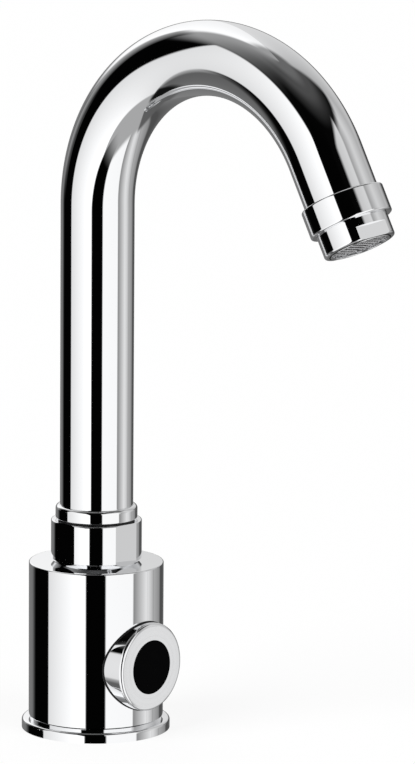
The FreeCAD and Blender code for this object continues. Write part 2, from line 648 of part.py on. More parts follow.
# ---------------------------------------------------------------- valve
def valve_block():
    """Brass block under the roof: neck with the union's thread, head with seat and inlet chamber."""
    neck = turned([
        (0, HEAD_TOP_Z),
        (VALVE_NECK_RADIUS, HEAD_TOP_Z),
        (VALVE_NECK_RADIUS, ROOF_Z, EDGE_BREAK, "bevel"),
        (0, ROOF_Z),
    ])
    head_reach = HEAD_TOP_Z + VALVE_HEAD_OVERLAP
    boss_radius = RISER_RADIUS + RISER_BOSS_WALL
    head = rod(VALVE_HEAD_RADIUS, BLOCK_BASE_Z, head_reach, VALVE_X, VALVE_Y)
    boss = rod(boss_radius, BLOCK_BASE_Z, head_reach, INLET_X, INLET_Y)
    bridge = slab((INLET_X, VALVE_X), (INLET_Y - boss_radius, INLET_Y + boss_radius),
                  (BLOCK_BASE_Z, head_reach))
    block = neck.fuse([head, boss, bridge])
    thread_z = UNION_END_Z - TOOL_OVERRUN
    chamber_top = BLOCK_BASE_Z + CHAMBER_DEPTH
    passage_floor = chamber_top + CHAMBER_ROOF
    block = block.cut(rod(UNION_SHANK_RADIUS + THREAD_FIT, thread_z, ROOF_Z))
    block = block.cut(rod(VALVE_PASSAGE_RADIUS, passage_floor, thread_z))
    seat_face = BLOCK_BASE_Z + SEAT_DROP
    block = block.cut(turned([
        (0, BLOCK_BASE_Z),
        (CHAMBER_OUTER_RADIUS, BLOCK_BASE_Z),
        (CHAMBER_OUTER_RADIUS, chamber_top),
        (SEAT_OUTER_RADIUS, chamber_top),
        (SEAT_OUTER_RADIUS, seat_face),
        (SEAT_BORE_RADIUS, seat_face),
        (SEAT_BORE_RADIUS, passage_floor + 4 * TOOL_OVERRUN),
        (0, passage_floor + 4 * TOOL_OVERRUN),
    ], VALVE_X, VALVE_Y))
    socket_top = BLOCK_BASE_Z + RISER_SOCKET_DEPTH
    cross_bore_z = socket_top + CROSS_BORE_RISE
    cross_bore_end = VALVE_X - (SEAT_OUTER_RADIUS + CHAMBER_OUTER_RADIUS) / 2
    cross_bore = Part.makeCylinder(CROSS_BORE_RADIUS, cross_bore_end - INLET_X,
                                   Vec(INLET_X, INLET_Y, cross_bore_z), Vec(1, 0, 0))
    block = block.cut(rod(RISER_RADIUS + SOCKET_FIT, BLOCK_BASE_Z, socket_top, INLET_X, INLET_Y))
    block = block.cut(rod(RISER_BORE_RADIUS, socket_top, cross_bore_z + CROSS_BORE_RISE, INLET_X, INLET_Y))
    block = block.cut(cross_bore)
    screw_hole_top = BLOCK_BASE_Z + COVER_SCREW_BITE + TOOL_OVERRUN
    for x, y in cover_screw_places():
        block = block.cut(rod(COVER_SCREW_RADIUS + SCREW_FIT, BLOCK_BASE_Z, screw_hole_top, x, y))
    return one_solid(block)


def cover_screw_places():
    """Centres of the cover's screws, set clear of the body's wall."""
    outward = math.degrees(math.atan2(VALVE_Y, VALVE_X))
    places = []
    for index in range(COVER_SCREW_COUNT):
        x, y = on_circle(COVER_SCREW_CIRCLE, outward + (index + 0.5) * 360.0 / COVER_SCREW_COUNT)
        places.append((VALVE_X + x, VALVE_Y + y))
    return places


def diaphragm():
    """Rubber diaphragm: clamped rim, thin web, thick pad that lies under the seat."""
    web_base = DIAPHRAGM_BASE_Z + (DIAPHRAGM_RIM - DIAPHRAGM_WEB) / 2
    web_top = web_base + DIAPHRAGM_WEB
    pad_radius = SEAT_OUTER_RADIUS + DIAPHRAGM_PAD_MARGIN
    web_start = pad_radius + DIAPHRAGM_PAD_SLOPE
    rim_start = PILOT_CHAMBER_RADIUS + DIAPHRAGM_RIM_SLOPE
    disc = turned([
        (0, DIAPHRAGM_BASE_Z),
        (pad_radius, DIAPHRAGM_BASE_Z, FINE_EDGE_BREAK, "bevel"),
        (web_start, web_base),
        (PILOT_CHAMBER_RADIUS, web_base),
        (rim_start, DIAPHRAGM_BASE_Z),
        (DIAPHRAGM_RADIUS, DIAPHRAGM_BASE_Z),
        (DIAPHRAGM_RADIUS, BLOCK_BASE_Z),
        (rim_start, BLOCK_BASE_Z),
        (PILOT_CHAMBER_RADIUS, web_top),
        (web_start, web_top),
        (pad_radius, BLOCK_BASE_Z, FINE_EDGE_BREAK, "bevel"),
        (0, BLOCK_BASE_Z),
    ], VALVE_X, VALVE_Y)
    bleed = rod(BLEED_RADIUS, DIAPHRAGM_BASE_Z, BLOCK_BASE_Z, VALVE_X + web_start + BLEED_OFFSET, VALVE_Y)
    return one_solid(disc.cut(bleed))


def valve_cover():
    """Glass-filled plastic cover that clamps the diaphragm and carries the pilot nozzle."""
    cover = turned([
        (0, DIAPHRAGM_BASE_Z - PILOT_CHAMBER_DEPTH),
        (PILOT_CHAMBER_RADIUS, DIAPHRAGM_BASE_Z - PILOT_CHAMBER_DEPTH),
        (PILOT_CHAMBER_RADIUS, DIAPHRAGM_BASE_Z),
        (VALVE_HEAD_RADIUS, DIAPHRAGM_BASE_Z),
        (VALVE_HEAD_RADIUS, COVER_BASE_Z, EDGE_BREAK, "bevel"),
        (PILOT_NOZZLE_RADIUS + PILOT_NOZZLE_SLOPE, COVER_BASE_Z),
        (PILOT_NOZZLE_RADIUS, NOZZLE_TIP_Z),
        (0, NOZZLE_TIP_Z),
    ], VALVE_X, VALVE_Y)
    cover = cover.cut(rod(PILOT_BORE_RADIUS, NOZZLE_TIP_Z, DIAPHRAGM_BASE_Z, VALVE_X, VALVE_Y))
    for x, y in cover_screw_places():
        cover = cover.cut(rod(COVER_SCREW_RADIUS + HOLE_CLEARANCE, COVER_BASE_Z, DIAPHRAGM_BASE_Z, x, y))
    return one_solid(cover)


def cover_screws():
    """Four pan-head screws with a cross recess, up through the cover into the block."""
    tip = BLOCK_BASE_Z + COVER_SCREW_BITE
    head_z = COVER_BASE_Z - COVER_SCREW_HEAD_HEIGHT
    recess = (head_z, head_z + RECESS_DEPTH)
    half = RECESS_WIDTH / 2
    screws = []
    for x, y in cover_screw_places():
        screw = turned([
            (0, head_z),
            (COVER_SCREW_HEAD_RADIUS, head_z, EDGE_BREAK, "bevel"),
            (COVER_SCREW_HEAD_RADIUS, COVER_BASE_Z),
            (COVER_SCREW_RADIUS, COVER_BASE_Z),
            (COVER_SCREW_RADIUS, tip),
            (0, tip),
        ], x, y)
        along_x = slab((x - RECESS_REACH, x + RECESS_REACH), (y - half, y + half), recess)
        along_y = slab((x - half, x + half), (y - RECESS_REACH, y + RECESS_REACH), recess)
        screws.append(screw.cut(along_x.fuse(along_y)))
    return Part.makeCompound(screws)


# ---------------------------------------------------------------- solenoid
def armature_tube():
    """Closed non-magnetic tube that the plunger slides in, flanged under the cover."""
    return turned([
        (0, ARMATURE_BASE_Z),
        (ARMATURE_TUBE_RADIUS, ARMATURE_BASE_Z, EDGE_BREAK, "bevel"),
        (ARMATURE_TUBE_RADIUS, YOKE_TOP_Z),
        (ARMATURE_FLANGE_RADIUS, YOKE_TOP_Z),
        (ARMATURE_FLANGE_RADIUS, COVER_BASE_Z),
        (ARMATURE_BORE_RADIUS, COVER_BASE_Z),
        (ARMATURE_BORE_RADIUS, ARMATURE_FLOOR_Z, FINE_EDGE_BREAK, "bevel"),
        (0, ARMATURE_FLOOR_Z),
    ], VALVE_X, VALVE_Y)


def plunger():
    """Soft-iron plunger with a spring bore below, two pressure grooves and a seal pocket on top."""
    pocket_floor = PLUNGER_TOP_Z - PILOT_SEAL_POCKET
    body = turned([
        (0, PLUNGER_BASE_Z + SPRING_BORE_DEPTH),
        (SPRING_BORE_RADIUS, PLUNGER_BASE_Z + SPRING_BORE_DEPTH),
        (SPRING_BORE_RADIUS, PLUNGER_BASE_Z),
        (PLUNGER_RADIUS, PLUNGER_BASE_Z, FINE_EDGE_BREAK, "bevel"),
        (PLUNGER_RADIUS, PLUNGER_TOP_Z, FINE_EDGE_BREAK, "bevel"),
        (PILOT_SEAL_RADIUS, PLUNGER_TOP_Z),
        (PILOT_SEAL_RADIUS, pocket_floor),
        (0, pocket_floor),
    ])
    groove = slab((PLUNGER_RADIUS - PLUNGER_GROOVE_DEPTH, PLUNGER_RADIUS + TOOL_OVERRUN),
                  (-PLUNGER_GROOVE_WIDTH / 2, PLUNGER_GROOVE_WIDTH / 2), (PLUNGER_BASE_Z, PLUNGER_TOP_Z))
    for heading in (0, 180):
        body = body.cut(headed(groove, heading))
    return moved(one_solid(body), shift(VALVE_X, VALVE_Y))


def pilot_seal():
    """Rubber button in the plunger's top that closes the pilot nozzle."""
    return rod(PILOT_SEAL_RADIUS, PLUNGER_TOP_Z - PILOT_SEAL_POCKET, PILOT_SEAL_TOP_Z, VALVE_X, VALVE_Y)


def plunger_spring():
    """Coil spring between the tube's floor and the plunger's bore, its ends on both."""
    low = ARMATURE_FLOOR_Z + SPRING_WIRE_RADIUS
    high = PLUNGER_BASE_Z + SPRING_BORE_DEPTH - SPRING_WIRE_RADIUS
    pitch = (high - low) / SPRING_TURNS
    helix = Part.makeHelix(pitch, high - low, SPRING_RADIUS)
    section = Part.Wire(Part.makeCircle(SPRING_WIRE_RADIUS, Vec(SPRING_RADIUS, 0, 0), Vec(0, 1, 0)))
    coil = Part.Wire(helix.Edges).makePipeShell([section], True, True)
    coil.translate(Vec(VALVE_X, VALVE_Y, low))
    return coil.Solids[0] if coil.Solids else Part.makeSolid(coil)


def coil_bobbin():
    """Plastic spool round the armature tube."""
    return turned([
        (BOBBIN_BORE_RADIUS, BOBBIN_BASE_Z),
        (BOBBIN_RADIUS, BOBBIN_BASE_Z),
        (BOBBIN_RADIUS, BOBBIN_BASE_Z + BOBBIN_FLANGE),
        (BOBBIN_CORE_RADIUS, BOBBIN_BASE_Z + BOBBIN_FLANGE),
        (BOBBIN_CORE_RADIUS, BOBBIN_TOP_Z - BOBBIN_FLANGE),
        (BOBBIN_RADIUS, BOBBIN_TOP_Z - BOBBIN_FLANGE),
        (BOBBIN_RADIUS, BOBBIN_TOP_Z),
        (BOBBIN_BORE_RADIUS, BOBBIN_TOP_Z),
    ], VALVE_X, VALVE_Y)


def coil_winding():
    """Enamelled winding, as one closed ring between the bobbin's flanges."""
    return sleeve(WINDING_RADIUS, BOBBIN_CORE_RADIUS, BOBBIN_BASE_Z + BOBBIN_FLANGE,
                  BOBBIN_TOP_Z - BOBBIN_FLANGE, VALVE_X, VALVE_Y)


def coil_yoke():
    """Bent steel strap that closes the magnetic path over, beside and under the coil."""
    inner = BOBBIN_RADIUS + YOKE_COIL_GAP
    back = inner + YOKE_THICKNESS
    half = YOKE_WIDTH / 2
    strap = slab((-half, back), (-half, half), (YOKE_BASE_Z, YOKE_TOP_Z))
    strap = strap.cut(slab((-half, inner), (-half, half), (BOBBIN_BASE_Z, BOBBIN_TOP_Z)))
    strap = strap.cut(rod(ARMATURE_TUBE_RADIUS + RUNNING_FIT, YOKE_BASE_Z, YOKE_TOP_Z))
    free_corners = []
    for edge in strap.Edges:
        box = edge.BoundBox
        upright = box.ZLength > box.XLength + box.YLength
        if upright and box.Center.x < -0.9 * half:
            free_corners.append(edge)
    strap = one_solid(strap.makeFillet(YOKE_CORNER, free_corners))
    beside_screws = math.degrees(math.atan2(VALVE_Y, VALVE_X)) - 90
    return moved(headed(strap, beside_screws), shift(VALVE_X, VALVE_Y))


def coil_clip():
    """Toothed push-on clip that holds the coil on the armature tube."""
    low = YOKE_BASE_Z - CLIP_THICKNESS
    clip = sleeve(CLIP_RADIUS, ARMATURE_TUBE_RADIUS + CLIP_GRIP_GAP, low, YOKE_BASE_Z)
    slot = slab((0, ARMATURE_TUBE_RADIUS + CLIP_SLOT_LENGTH), (-CLIP_SLOT_WIDTH / 2, CLIP_SLOT_WIDTH / 2),
                (low, YOKE_BASE_Z))
    for index in range(CLIP_SLOTS):
        clip = clip.cut(headed(slot, 360.0 * index / CLIP_SLOTS))
    return moved(one_solid(clip), shift(VALVE_X, VALVE_Y))


# ---------------------------------------------------------------- sensor
def sensor_bezel():
    """Chrome ring: flat turned face, skirt that follows the round body, spigot through its wall."""
    skirt = turned([
        (SPIGOT_RADIUS, BEZEL_SKIRT_START),
        (BEZEL_RADIUS, BEZEL_SKIRT_START),
        (BEZEL_RADIUS, SENSOR_FACE, BEZEL_EDGE),
        (SPIGOT_RADIUS, SENSOR_FACE),
    ])
    seal_top = BODY_RADIUS + BEZEL_SEAL_THICKNESS + SEAL_SQUEEZE
    saddle = rod(seal_top, 0, BODY_TOP_Z + BEZEL_RADIUS)
    skirt = moved(skirt, SENSOR_FRAME).cut(saddle)
    spigot = moved(turned([
        (SPIGOT_BORE_RADIUS, SPIGOT_END),
        (SPIGOT_RADIUS, SPIGOT_END),
        (SPIGOT_RADIUS, SENSOR_FACE),
        (WINDOW_RADIUS + SOCKET_FIT, SENSOR_FACE),
        (WINDOW_RADIUS + SOCKET_FIT, BEZEL_STEP),
        (SPIGOT_BORE_RADIUS, BEZEL_STEP),
    ]), SENSOR_FRAME)
    return one_solid(spigot.fuse(skirt))


def bezel_seal():
    """Rubber seal under the bezel's skirt, bent to the round body and a little wider than the skirt."""
    outer = BEZEL_RADIUS + BEZEL_SEAL_PROUD
    ring = moved(sleeve(outer, outer - BEZEL_SEAL_WIDTH, BEZEL_SKIRT_START, SENSOR_FACE), SENSOR_FRAME)
    inner = BODY_RADIUS + SEAL_SQUEEZE
    layer = sleeve(BODY_RADIUS + BEZEL_SEAL_THICKNESS, inner, 0, BODY_TOP_Z + BEZEL_RADIUS)
    return one_solid(ring.common(layer))


def sensor_window():
    """Dark infrared window with a rim behind the bezel's step."""
    return moved(turned([
        (0, WINDOW_BACK),
        (HOUSING_RADIUS, WINDOW_BACK),
        (HOUSING_RADIUS, WINDOW_STEP),
        (WINDOW_RADIUS, WINDOW_STEP),
        (WINDOW_RADIUS, WINDOW_FRONT, WINDOW_EDGE, "bevel"),
        (0, WINDOW_FRONT),
    ]), SENSOR_FRAME)


def window_seal():
    """Rubber ring between the window's rim and the bezel's step."""
    return moved(sleeve(HOUSING_RADIUS, WINDOW_RADIUS + SOCKET_FIT, WINDOW_STEP, BEZEL_STEP), SENSOR_FRAME)


def sensor_housing():
    """Black plastic cup with one sight tunnel for each diode."""
    cup = turned([
        (0, HOUSING_BACK),
        (HOUSING_RADIUS, HOUSING_BACK),
        (HOUSING_RADIUS, WINDOW_BACK),
        (0, WINDOW_BACK),
    ])
    cup = cup.cut(rod(HOUSING_RADIUS - HOUSING_WALL, HOUSING_BACK, WINDOW_BACK - HOUSING_FRONT_THICKNESS))
    for side in (-1, 1):
        x = side * EYE_SPACING / 2
        cup = cup.cut(rod(EYE_HOLE_RADIUS, WINDOW_BACK - HOUSING_FRONT_THICKNESS, WINDOW_BACK, x))
    return moved(one_solid(cup), SENSOR_FRAME)


def diode(side):
    """Round-nosed diode with its collar on the board."""
    tip = BOARD_FRONT_FACE + DIODE_LENGTH
    collar_radius = DIODE_RADIUS + DIODE_COLLAR_WIDTH
    collar_top = BOARD_FRONT_FACE + DIODE_COLLAR_HEIGHT
    return moved(turned([
        (0, BOARD_FRONT_FACE),
        (collar_radius, BOARD_FRONT_FACE),
        (collar_radius, collar_top),
        (DIODE_RADIUS, collar_top),
        (DIODE_RADIUS, tip, DIODE_RADIUS - DIODE_NOSE_FLAT),
        (0, tip),
    ], side * EYE_SPACING / 2), SENSOR_FRAME)


def sensor_board():
    """Round circuit board with a flat for keying."""
    board = rod(BOARD_RADIUS, BOARD_BACK_FACE, BOARD_FRONT_FACE)
    key = slab((-BOARD_RADIUS, BOARD_RADIUS), (-BOARD_RADIUS, BOARD_KEY_DEPTH - BOARD_RADIUS),
               (BOARD_BACK_FACE, BOARD_FRONT_FACE))
    return moved(one_solid(board.cut(key)), SENSOR_FRAME)


def board_block(centre, width, depth, z_range):
    """Upright box on the board about its own centre."""
    x, y = centre
    return slab((x - width / 2, x + width / 2), (y - depth / 2, y + depth / 2), z_range)


def board_parts():
    """Controller, capacitor and plug socket on the back of the board."""
    back = BOARD_BACK_FACE
    chip = board_block(CHIP_CENTRE, CHIP_SIDE, CHIP_SIDE, (back - CHIP_HEIGHT, back))
    capacitor = rod(CAPACITOR_RADIUS, back - PLUG_HEIGHT, back, *CAPACITOR_CENTRE)
    shell = board_block(PLUG_CENTRE, PLUG_WIDTH, PLUG_DEPTH, (back - PLUG_HEIGHT, back))
    pocket = board_block(PLUG_CENTRE, PLUG_WIDTH - 2 * PLUG_WALL, PLUG_DEPTH - 2 * PLUG_WALL,
                         (back - PLUG_HEIGHT, back - PLUG_WALL))
    return moved(Part.makeCompound([chip, capacitor, shell.cut(pocket)]), SENSOR_FRAME)


def sensor_cap():
    """Rear lid of the sensor housing, with the notch that its lead leaves by."""
    cap = rod(BOARD_RADIUS, HOUSING_BACK, HOUSING_BACK + CAP_THICKNESS)
    notch = slab((-LEAD_NOTCH / 2, LEAD_NOTCH / 2), (-BOARD_RADIUS, LEAD_NOTCH - BOARD_RADIUS),
                 (HOUSING_BACK, HOUSING_BACK + CAP_THICKNESS))
    return moved(one_solid(cap.cut(notch)), SENSOR_FRAME)


def clamp_nut():
    """Ring nut inside the body: pulls the bezel home and holds the housing by its lip."""
    lip_face = min(HOUSING_BACK, SPIGOT_END) - CLAMP_PRESS_GAP
    lip_back = lip_face - CLAMP_NUT_LIP
    nut = turned([
        (CLAMP_NUT_LIP_RADIUS, lip_back),
        (CLAMP_NUT_RADIUS, lip_back, EDGE_BREAK, "bevel"),
        (CLAMP_NUT_RADIUS, CLAMP_SEAT),
        (SPIGOT_RADIUS + THREAD_FIT, CLAMP_SEAT),
        (SPIGOT_RADIUS + THREAD_FIT, lip_face),
        (CLAMP_NUT_LIP_RADIUS, lip_face),
    ])
    half = CLAMP_NUT_NOTCH_WIDTH / 2
    slot = slab((CLAMP_NUT_RADIUS - CLAMP_NUT_NOTCH_DEPTH, CLAMP_NUT_RADIUS + TOOL_OVERRUN),
                (-half, half), (lip_back, CLAMP_SEAT))
    for index in range(CLAMP_NUT_NOTCHES):
        nut = nut.cut(headed(slot, 360.0 * (index + 0.5) / CLAMP_NUT_NOTCHES))
    return moved(one_solid(nut), SENSOR_FRAME)


# ---------------------------------------------------------------- union and ferrule
def spout_union():
    """Round union with four wrench flats: shank through the roof into the block, socket for the spout."""
    union = turned([
        (0, BODY_TOP_Z),
        (UNION_RADIUS - UNION_CHAMFER_INSET, BODY_TOP_Z),
        (UNION_RADIUS, BODY_TOP_Z + UNION_CHAMFER_HEIGHT),
        (UNION_RADIUS, UNION_TOP_Z, UNION_EDGE),
        (0, UNION_TOP_Z),
    ])
    chop = slab((UNION_FLAT_RADIUS, UNION_RADIUS + TOOL_OVERRUN), (-UNION_RADIUS, UNION_RADIUS),
                (BODY_TOP_Z, UNION_TOP_Z))
    for index in range(UNION_FLATS):
        union = union.cut(headed(chop, UNION_FLAT_HEADING + 360.0 * index / UNION_FLATS))
    union = union.fuse(rod(UNION_SHANK_RADIUS, UNION_END_Z, BODY_TOP_Z))
    union = union.cut(rod(FERRULE_RADIUS + RUNNING_FIT, FERRULE_END_Z - FERRULE_END_GAP, UNION_TOP_Z))
    union = union.cut(rod(UNION_PASSAGE_RADIUS, UNION_END_Z, FERRULE_END_Z))
    drill = Part.makeCylinder(STOP_SCREW_RADIUS + SCREW_FIT, UNION_RADIUS,
                              Vec(STOP_GROOVE_RADIUS, 0, STOP_Z), Vec(1, 0, 0))
    return one_solid(union.cut(headed(drill, STOP_HEADING)))


def stop_screw():
    """Socket set screw in the union's rear flat; its dog point limits the swing and keeps the spout in."""
    tip_radius = STOP_GROOVE_RADIUS + STOP_SIDE_GAP
    shoulder = tip_radius + STOP_TIP_LENGTH
    end = UNION_FLAT_RADIUS - STOP_SCREW_SINK
    screw = turned([
        (0, tip_radius),
        (STOP_TIP_RADIUS, tip_radius),
        (STOP_TIP_RADIUS, shoulder),
        (STOP_SCREW_RADIUS, shoulder),
        (STOP_SCREW_RADIUS, end, FINE_EDGE_BREAK, "bevel"),
        (0, end),
    ])
    screw = screw.cut(hexagon(KEY_ACROSS_FLATS, end - STOP_KEY_DEPTH, end, 0))
    across = FreeCAD.Placement(Vec(0, 0, STOP_Z), FreeCAD.Rotation(Vec(0, 1, 0), 90))
    return headed(moved(one_solid(screw), across), STOP_HEADING)


def glide_washer():
    """Black plastic washer on the union that the spout's ring turns on."""
    return sleeve(GLIDE_WASHER_RADIUS, FERRULE_RADIUS + HOLE_CLEARANCE, UNION_TOP_Z,
                  UNION_TOP_Z + GLIDE_WASHER_THICKNESS)


def spout_ferrule():
    """Brass insert in the tube's foot: turns in the union, with two seal grooves and the stop groove."""
    head_radius = TUBE_BORE_RADIUS - SOCKET_FIT
    head_top = TUBE_BASE_Z + FERRULE_HEAD_LENGTH
    ferrule = turned([
        (FERRULE_BORE_RADIUS, FERRULE_END_Z),
        (FERRULE_RADIUS, FERRULE_END_Z, EDGE_BREAK, "bevel"),
        (FERRULE_RADIUS, TUBE_BASE_Z),
        (head_radius, TUBE_BASE_Z),
        (head_radius, head_top),
        (head_radius - FERRULE_HEAD_LIP, head_top),
        (FERRULE_BORE_RADIUS, TUBE_BASE_Z + FERRULE_FUNNEL_RISE),
    ])
    cut_radius = FERRULE_RADIUS + TOOL_OVERRUN
    for height in O_RING_HEIGHTS:
        low = FERRULE_END_Z + height - O_RING_GROOVE_WIDTH / 2
        ferrule = ferrule.cut(sleeve(cut_radius, O_RING_GROOVE_RADIUS, low, low + O_RING_GROOVE_WIDTH))
    tip_angle = math.degrees(math.asin(STOP_TIP_RADIUS / STOP_GROOVE_RADIUS))
    gap_angle = math.degrees(STOP_SIDE_GAP / STOP_GROOVE_RADIUS)
    half_sweep = SWIVEL_LIMIT + tip_angle + gap_angle
    half_height = STOP_TIP_RADIUS + STOP_SIDE_GAP
    section = outline_face([
        (STOP_GROOVE_RADIUS, STOP_Z - half_height),
        (cut_radius, STOP_Z - half_height),
        (cut_radius, STOP_Z + half_height),
        (STOP_GROOVE_RADIUS, STOP_Z + half_height),
    ], lambda point: Vec(point.x, 0, point.y))
    groove = section.revolve(Vec(0, 0, 0), Vec(0, 0, 1), 2 * half_sweep)
    return one_solid(ferrule.cut(headed(groove, STOP_HEADING - half_sweep)))


def ferrule_o_rings():
    """Two rubber rings that seal the turning joint."""
    radius = FERRULE_RADIUS + RUNNING_FIT - SEAL_SQUEEZE - O_RING_SECTION_RADIUS
    rings = []
    for height in O_RING_HEIGHTS:
        rings.append(Part.makeTorus(radius, O_RING_SECTION_RADIUS, Vec(0, 0, FERRULE_END_Z + height)))
    return Part.makeCompound(rings)


def base_ring():
    """Chrome ring brazed round the foot of the tube; it hides the joint and rests on the washer."""
    return turned([
        (FERRULE_RADIUS + SOCKET_FIT, RING_Z),
        (RING_RADIUS, RING_Z, FINE_EDGE_BREAK, "bevel"),
        (RING_RADIUS, RING_Z + RING_HEIGHT, RING_EDGE),
        (TUBE_RADIUS + SOCKET_FIT, RING_Z + RING_HEIGHT),
        (TUBE_RADIUS + SOCKET_FIT, TUBE_BASE_Z),
        (FERRULE_RADIUS + SOCKET_FIT, TUBE_BASE_Z),
    ])


# ---------------------------------------------------------------- swan neck and nose
def spout_tube():
    """Swan neck: straight leg, one even bend, short straight nose, all of one wall."""
    leg = sleeve(TUBE_RADIUS, TUBE_BORE_RADIUS, TUBE_BASE_Z, BEND_START_Z)
    outer = Part.Wire(Part.makeCircle(TUBE_RADIUS, Vec(0, 0, BEND_START_Z), Vec(0, 0, 1)))
    inner = Part.Wire(Part.makeCircle(TUBE_BORE_RADIUS, Vec(0, 0, BEND_START_Z), Vec(0, 0, 1)))
    section = Part.Face([outer, inner])
    bend = section.revolve(Vec(0, -BEND_RADIUS, BEND_START_Z), Vec(1, 0, 0), BEND_ANGLE)
    nose = moved(sleeve(TUBE_RADIUS, TUBE_BORE_RADIUS, 0, COLLAR_START + COLLAR_SOCKET_DEPTH), NOSE_FRAME)
    return one_solid(leg.fuse([bend, nose]))


def nose_collar():
    """Chrome collar brazed on the tube's end, threaded inside for the aerator."""
    step = COLLAR_START + COLLAR_SOCKET_DEPTH
    thread_radius = AERATOR_THREAD_RADIUS + THREAD_FIT
    return moved(turned([
        (TUBE_RADIUS + SOCKET_FIT, COLLAR_START),
        (RING_RADIUS, COLLAR_START, COLLAR_EDGE),
        (RING_RADIUS, COLLAR_END, COLLAR_EDGE),
        (thread_radius, COLLAR_END),
        (thread_radius, step),
        (TUBE_RADIUS + SOCKET_FIT, step),
    ]), NOSE_FRAME)


def aerator_casing():
    """Chrome casing of the aerator: thread above, two wrench flats, turned-in lip at the mouth."""
    thread_start = COLLAR_END - AERATOR_THREAD_LENGTH
    lip_back = NOSE_TIP - AERATOR_LIP_THICKNESS
    casing = turned([
        (AERATOR_WALL_RADIUS, thread_start),
        (AERATOR_THREAD_RADIUS, thread_start, FINE_EDGE_BREAK, "bevel"),
        (AERATOR_THREAD_RADIUS, COLLAR_END + AERATOR_SEAT_RISE),
        (AERATOR_RADIUS, COLLAR_END + AERATOR_SEAT_RISE),
        (AERATOR_RADIUS, NOSE_TIP, AERATOR_EDGE),
        (AERATOR_LIP_RADIUS, NOSE_TIP, FINE_EDGE_BREAK, "bevel"),
        (AERATOR_LIP_RADIUS, lip_back),
        (AERATOR_BORE_RADIUS, lip_back),
        (AERATOR_BORE_RADIUS, COLLAR_END),
        (AERATOR_WALL_RADIUS, COLLAR_END),
    ])
    chop = slab((AERATOR_RADIUS - AERATOR_FLAT_DEPTH, AERATOR_RADIUS + TOOL_OVERRUN),
                (-AERATOR_RADIUS, AERATOR_RADIUS),
                (NOSE_TIP - AERATOR_FLAT_LENGTH, NOSE_TIP + TOOL_OVERRUN))
    for side in (90, 270):
        casing = casing.cut(headed(chop, side + AERATOR_FLAT_TURN))
    return moved(one_solid(casing), NOSE_FRAME)


def aerator_seal():
    """Flat rubber washer between the tube's end and the aerator's insert."""
    outer = AERATOR_THREAD_RADIUS - SOCKET_FIT
    low = COLLAR_START + COLLAR_SOCKET_DEPTH
    high = COLLAR_END - AERATOR_THREAD_LENGTH
    return moved(sleeve(outer, outer - AERATOR_SEAL_WIDTH, low, high), NOSE_FRAME)


def aerator_insert():
    """Plastic insert: a rim and a plate with two rings of straight jet holes."""
    top = COLLAR_END - AERATOR_THREAD_LENGTH
    bottom = NOSE_TIP - AERATOR_LIP_THICKNESS - OUTLET_SCREEN_THICKNESS
    inner = INSERT_RADIUS - INSERT_WALL
    plate_top = top + INSERT_PLATE_DEPTH
    plate_bottom = plate_top + INSERT_PLATE_THICKNESS
    insert = turned([
        (inner, top),
        (INSERT_RADIUS, top),
        (INSERT_RADIUS, bottom),
        (inner, bottom),
        (inner, plate_bottom),
        (0, plate_bottom),
        (0, plate_top),
        (inner, plate_top),
    ])
    holes = []
    for x, y in round_pattern(JET_RINGS):
        holes.append(rod(JET_RADIUS, plate_top, plate_bottom, x, y))
    return moved(one_solid(insert.cut(Part.makeCompound(holes))), NOSE_FRAME)


def outlet_screen():
    """Stainless disc that carries the outlet's mesh, held between the insert and the lip."""
    high = NOSE_TIP - AERATOR_LIP_THICKNESS
    return moved(rod(INSERT_RADIUS, high - OUTLET_SCREEN_THICKNESS, high), NOSE_FRAME)


PARTS = {
    "base_flange": base_flange,
    "deck_gasket": deck_gasket,
    "body_shell": body_shell,
    "base_plate": base_plate,
    "plate_screws": plate_screws,
    "inlet_fitting": inlet_fitting,
    "inlet_filter": inlet_filter,
    "riser_pipe": riser_pipe,
    "lead_grommet": lead_grommet,
    "valve_block": valve_block,
    "diaphragm": diaphragm,
    "valve_cover": valve_cover,
    "cover_screws": cover_screws,
    "armature_tube": armature_tube,
    "plunger": plunger,
    "pilot_seal": pilot_seal,
    "plunger_spring": plunger_spring,
    "coil_bobbin": coil_bobbin,
    "coil_winding": coil_winding,
    "coil_yoke": coil_yoke,
    "coil_clip": coil_clip,
    "sensor_bezel": sensor_bezel,
    "bezel_seal": bezel_seal,
    "sensor_window": sensor_window,
    "window_seal": window_seal,
    "sensor_housing": sensor_housing,
    "emitter_diode": lambda: diode(-1),
    "receiver_diode": lambda: diode(1),
    "sensor_board": sensor_board,
    "board_parts": board_parts,
    "sensor_cap": sensor_cap,
    "clamp_nut": clamp_nut,
    "spout_union": spout_union,
    "stop_screw": stop_screw,
    "glide_washer": glide_washer,
    "spout_ferrule": spout_ferrule,
    "ferrule_o_rings": ferrule_o_rings,
    "base_ring": base_ring,
    "spout_tube": spout_tube,
    "nose_collar": nose_collar,
    "aerator_casing": aerator_casing,
    "aerator_seal": aerator_seal,
    "aerator_insert": aerator_insert,
    "outlet_screen": outlet_screen,
}

os.makedirs("parts", exist_ok=True)
for name, build in PARTS.items():
    shape = build()
    shape.exportStep("parts/" + name + ".step")
    print(name, "solids", len(shape.Solids), "valid", shape.isValid(), "volume", round(shape.Volume, 1))
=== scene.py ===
# %% [markdown]
# # A touchless swan-neck basin tap
# Everything here is built on it, so nothing has to be fitted by eye. The first cell
# also keeps the size of that frame, to show at the end that the looks have not changed
# the dimensions.

import json
import math

import bmesh
import bpy
import numpy as np
from mathutils import Matrix, Vector

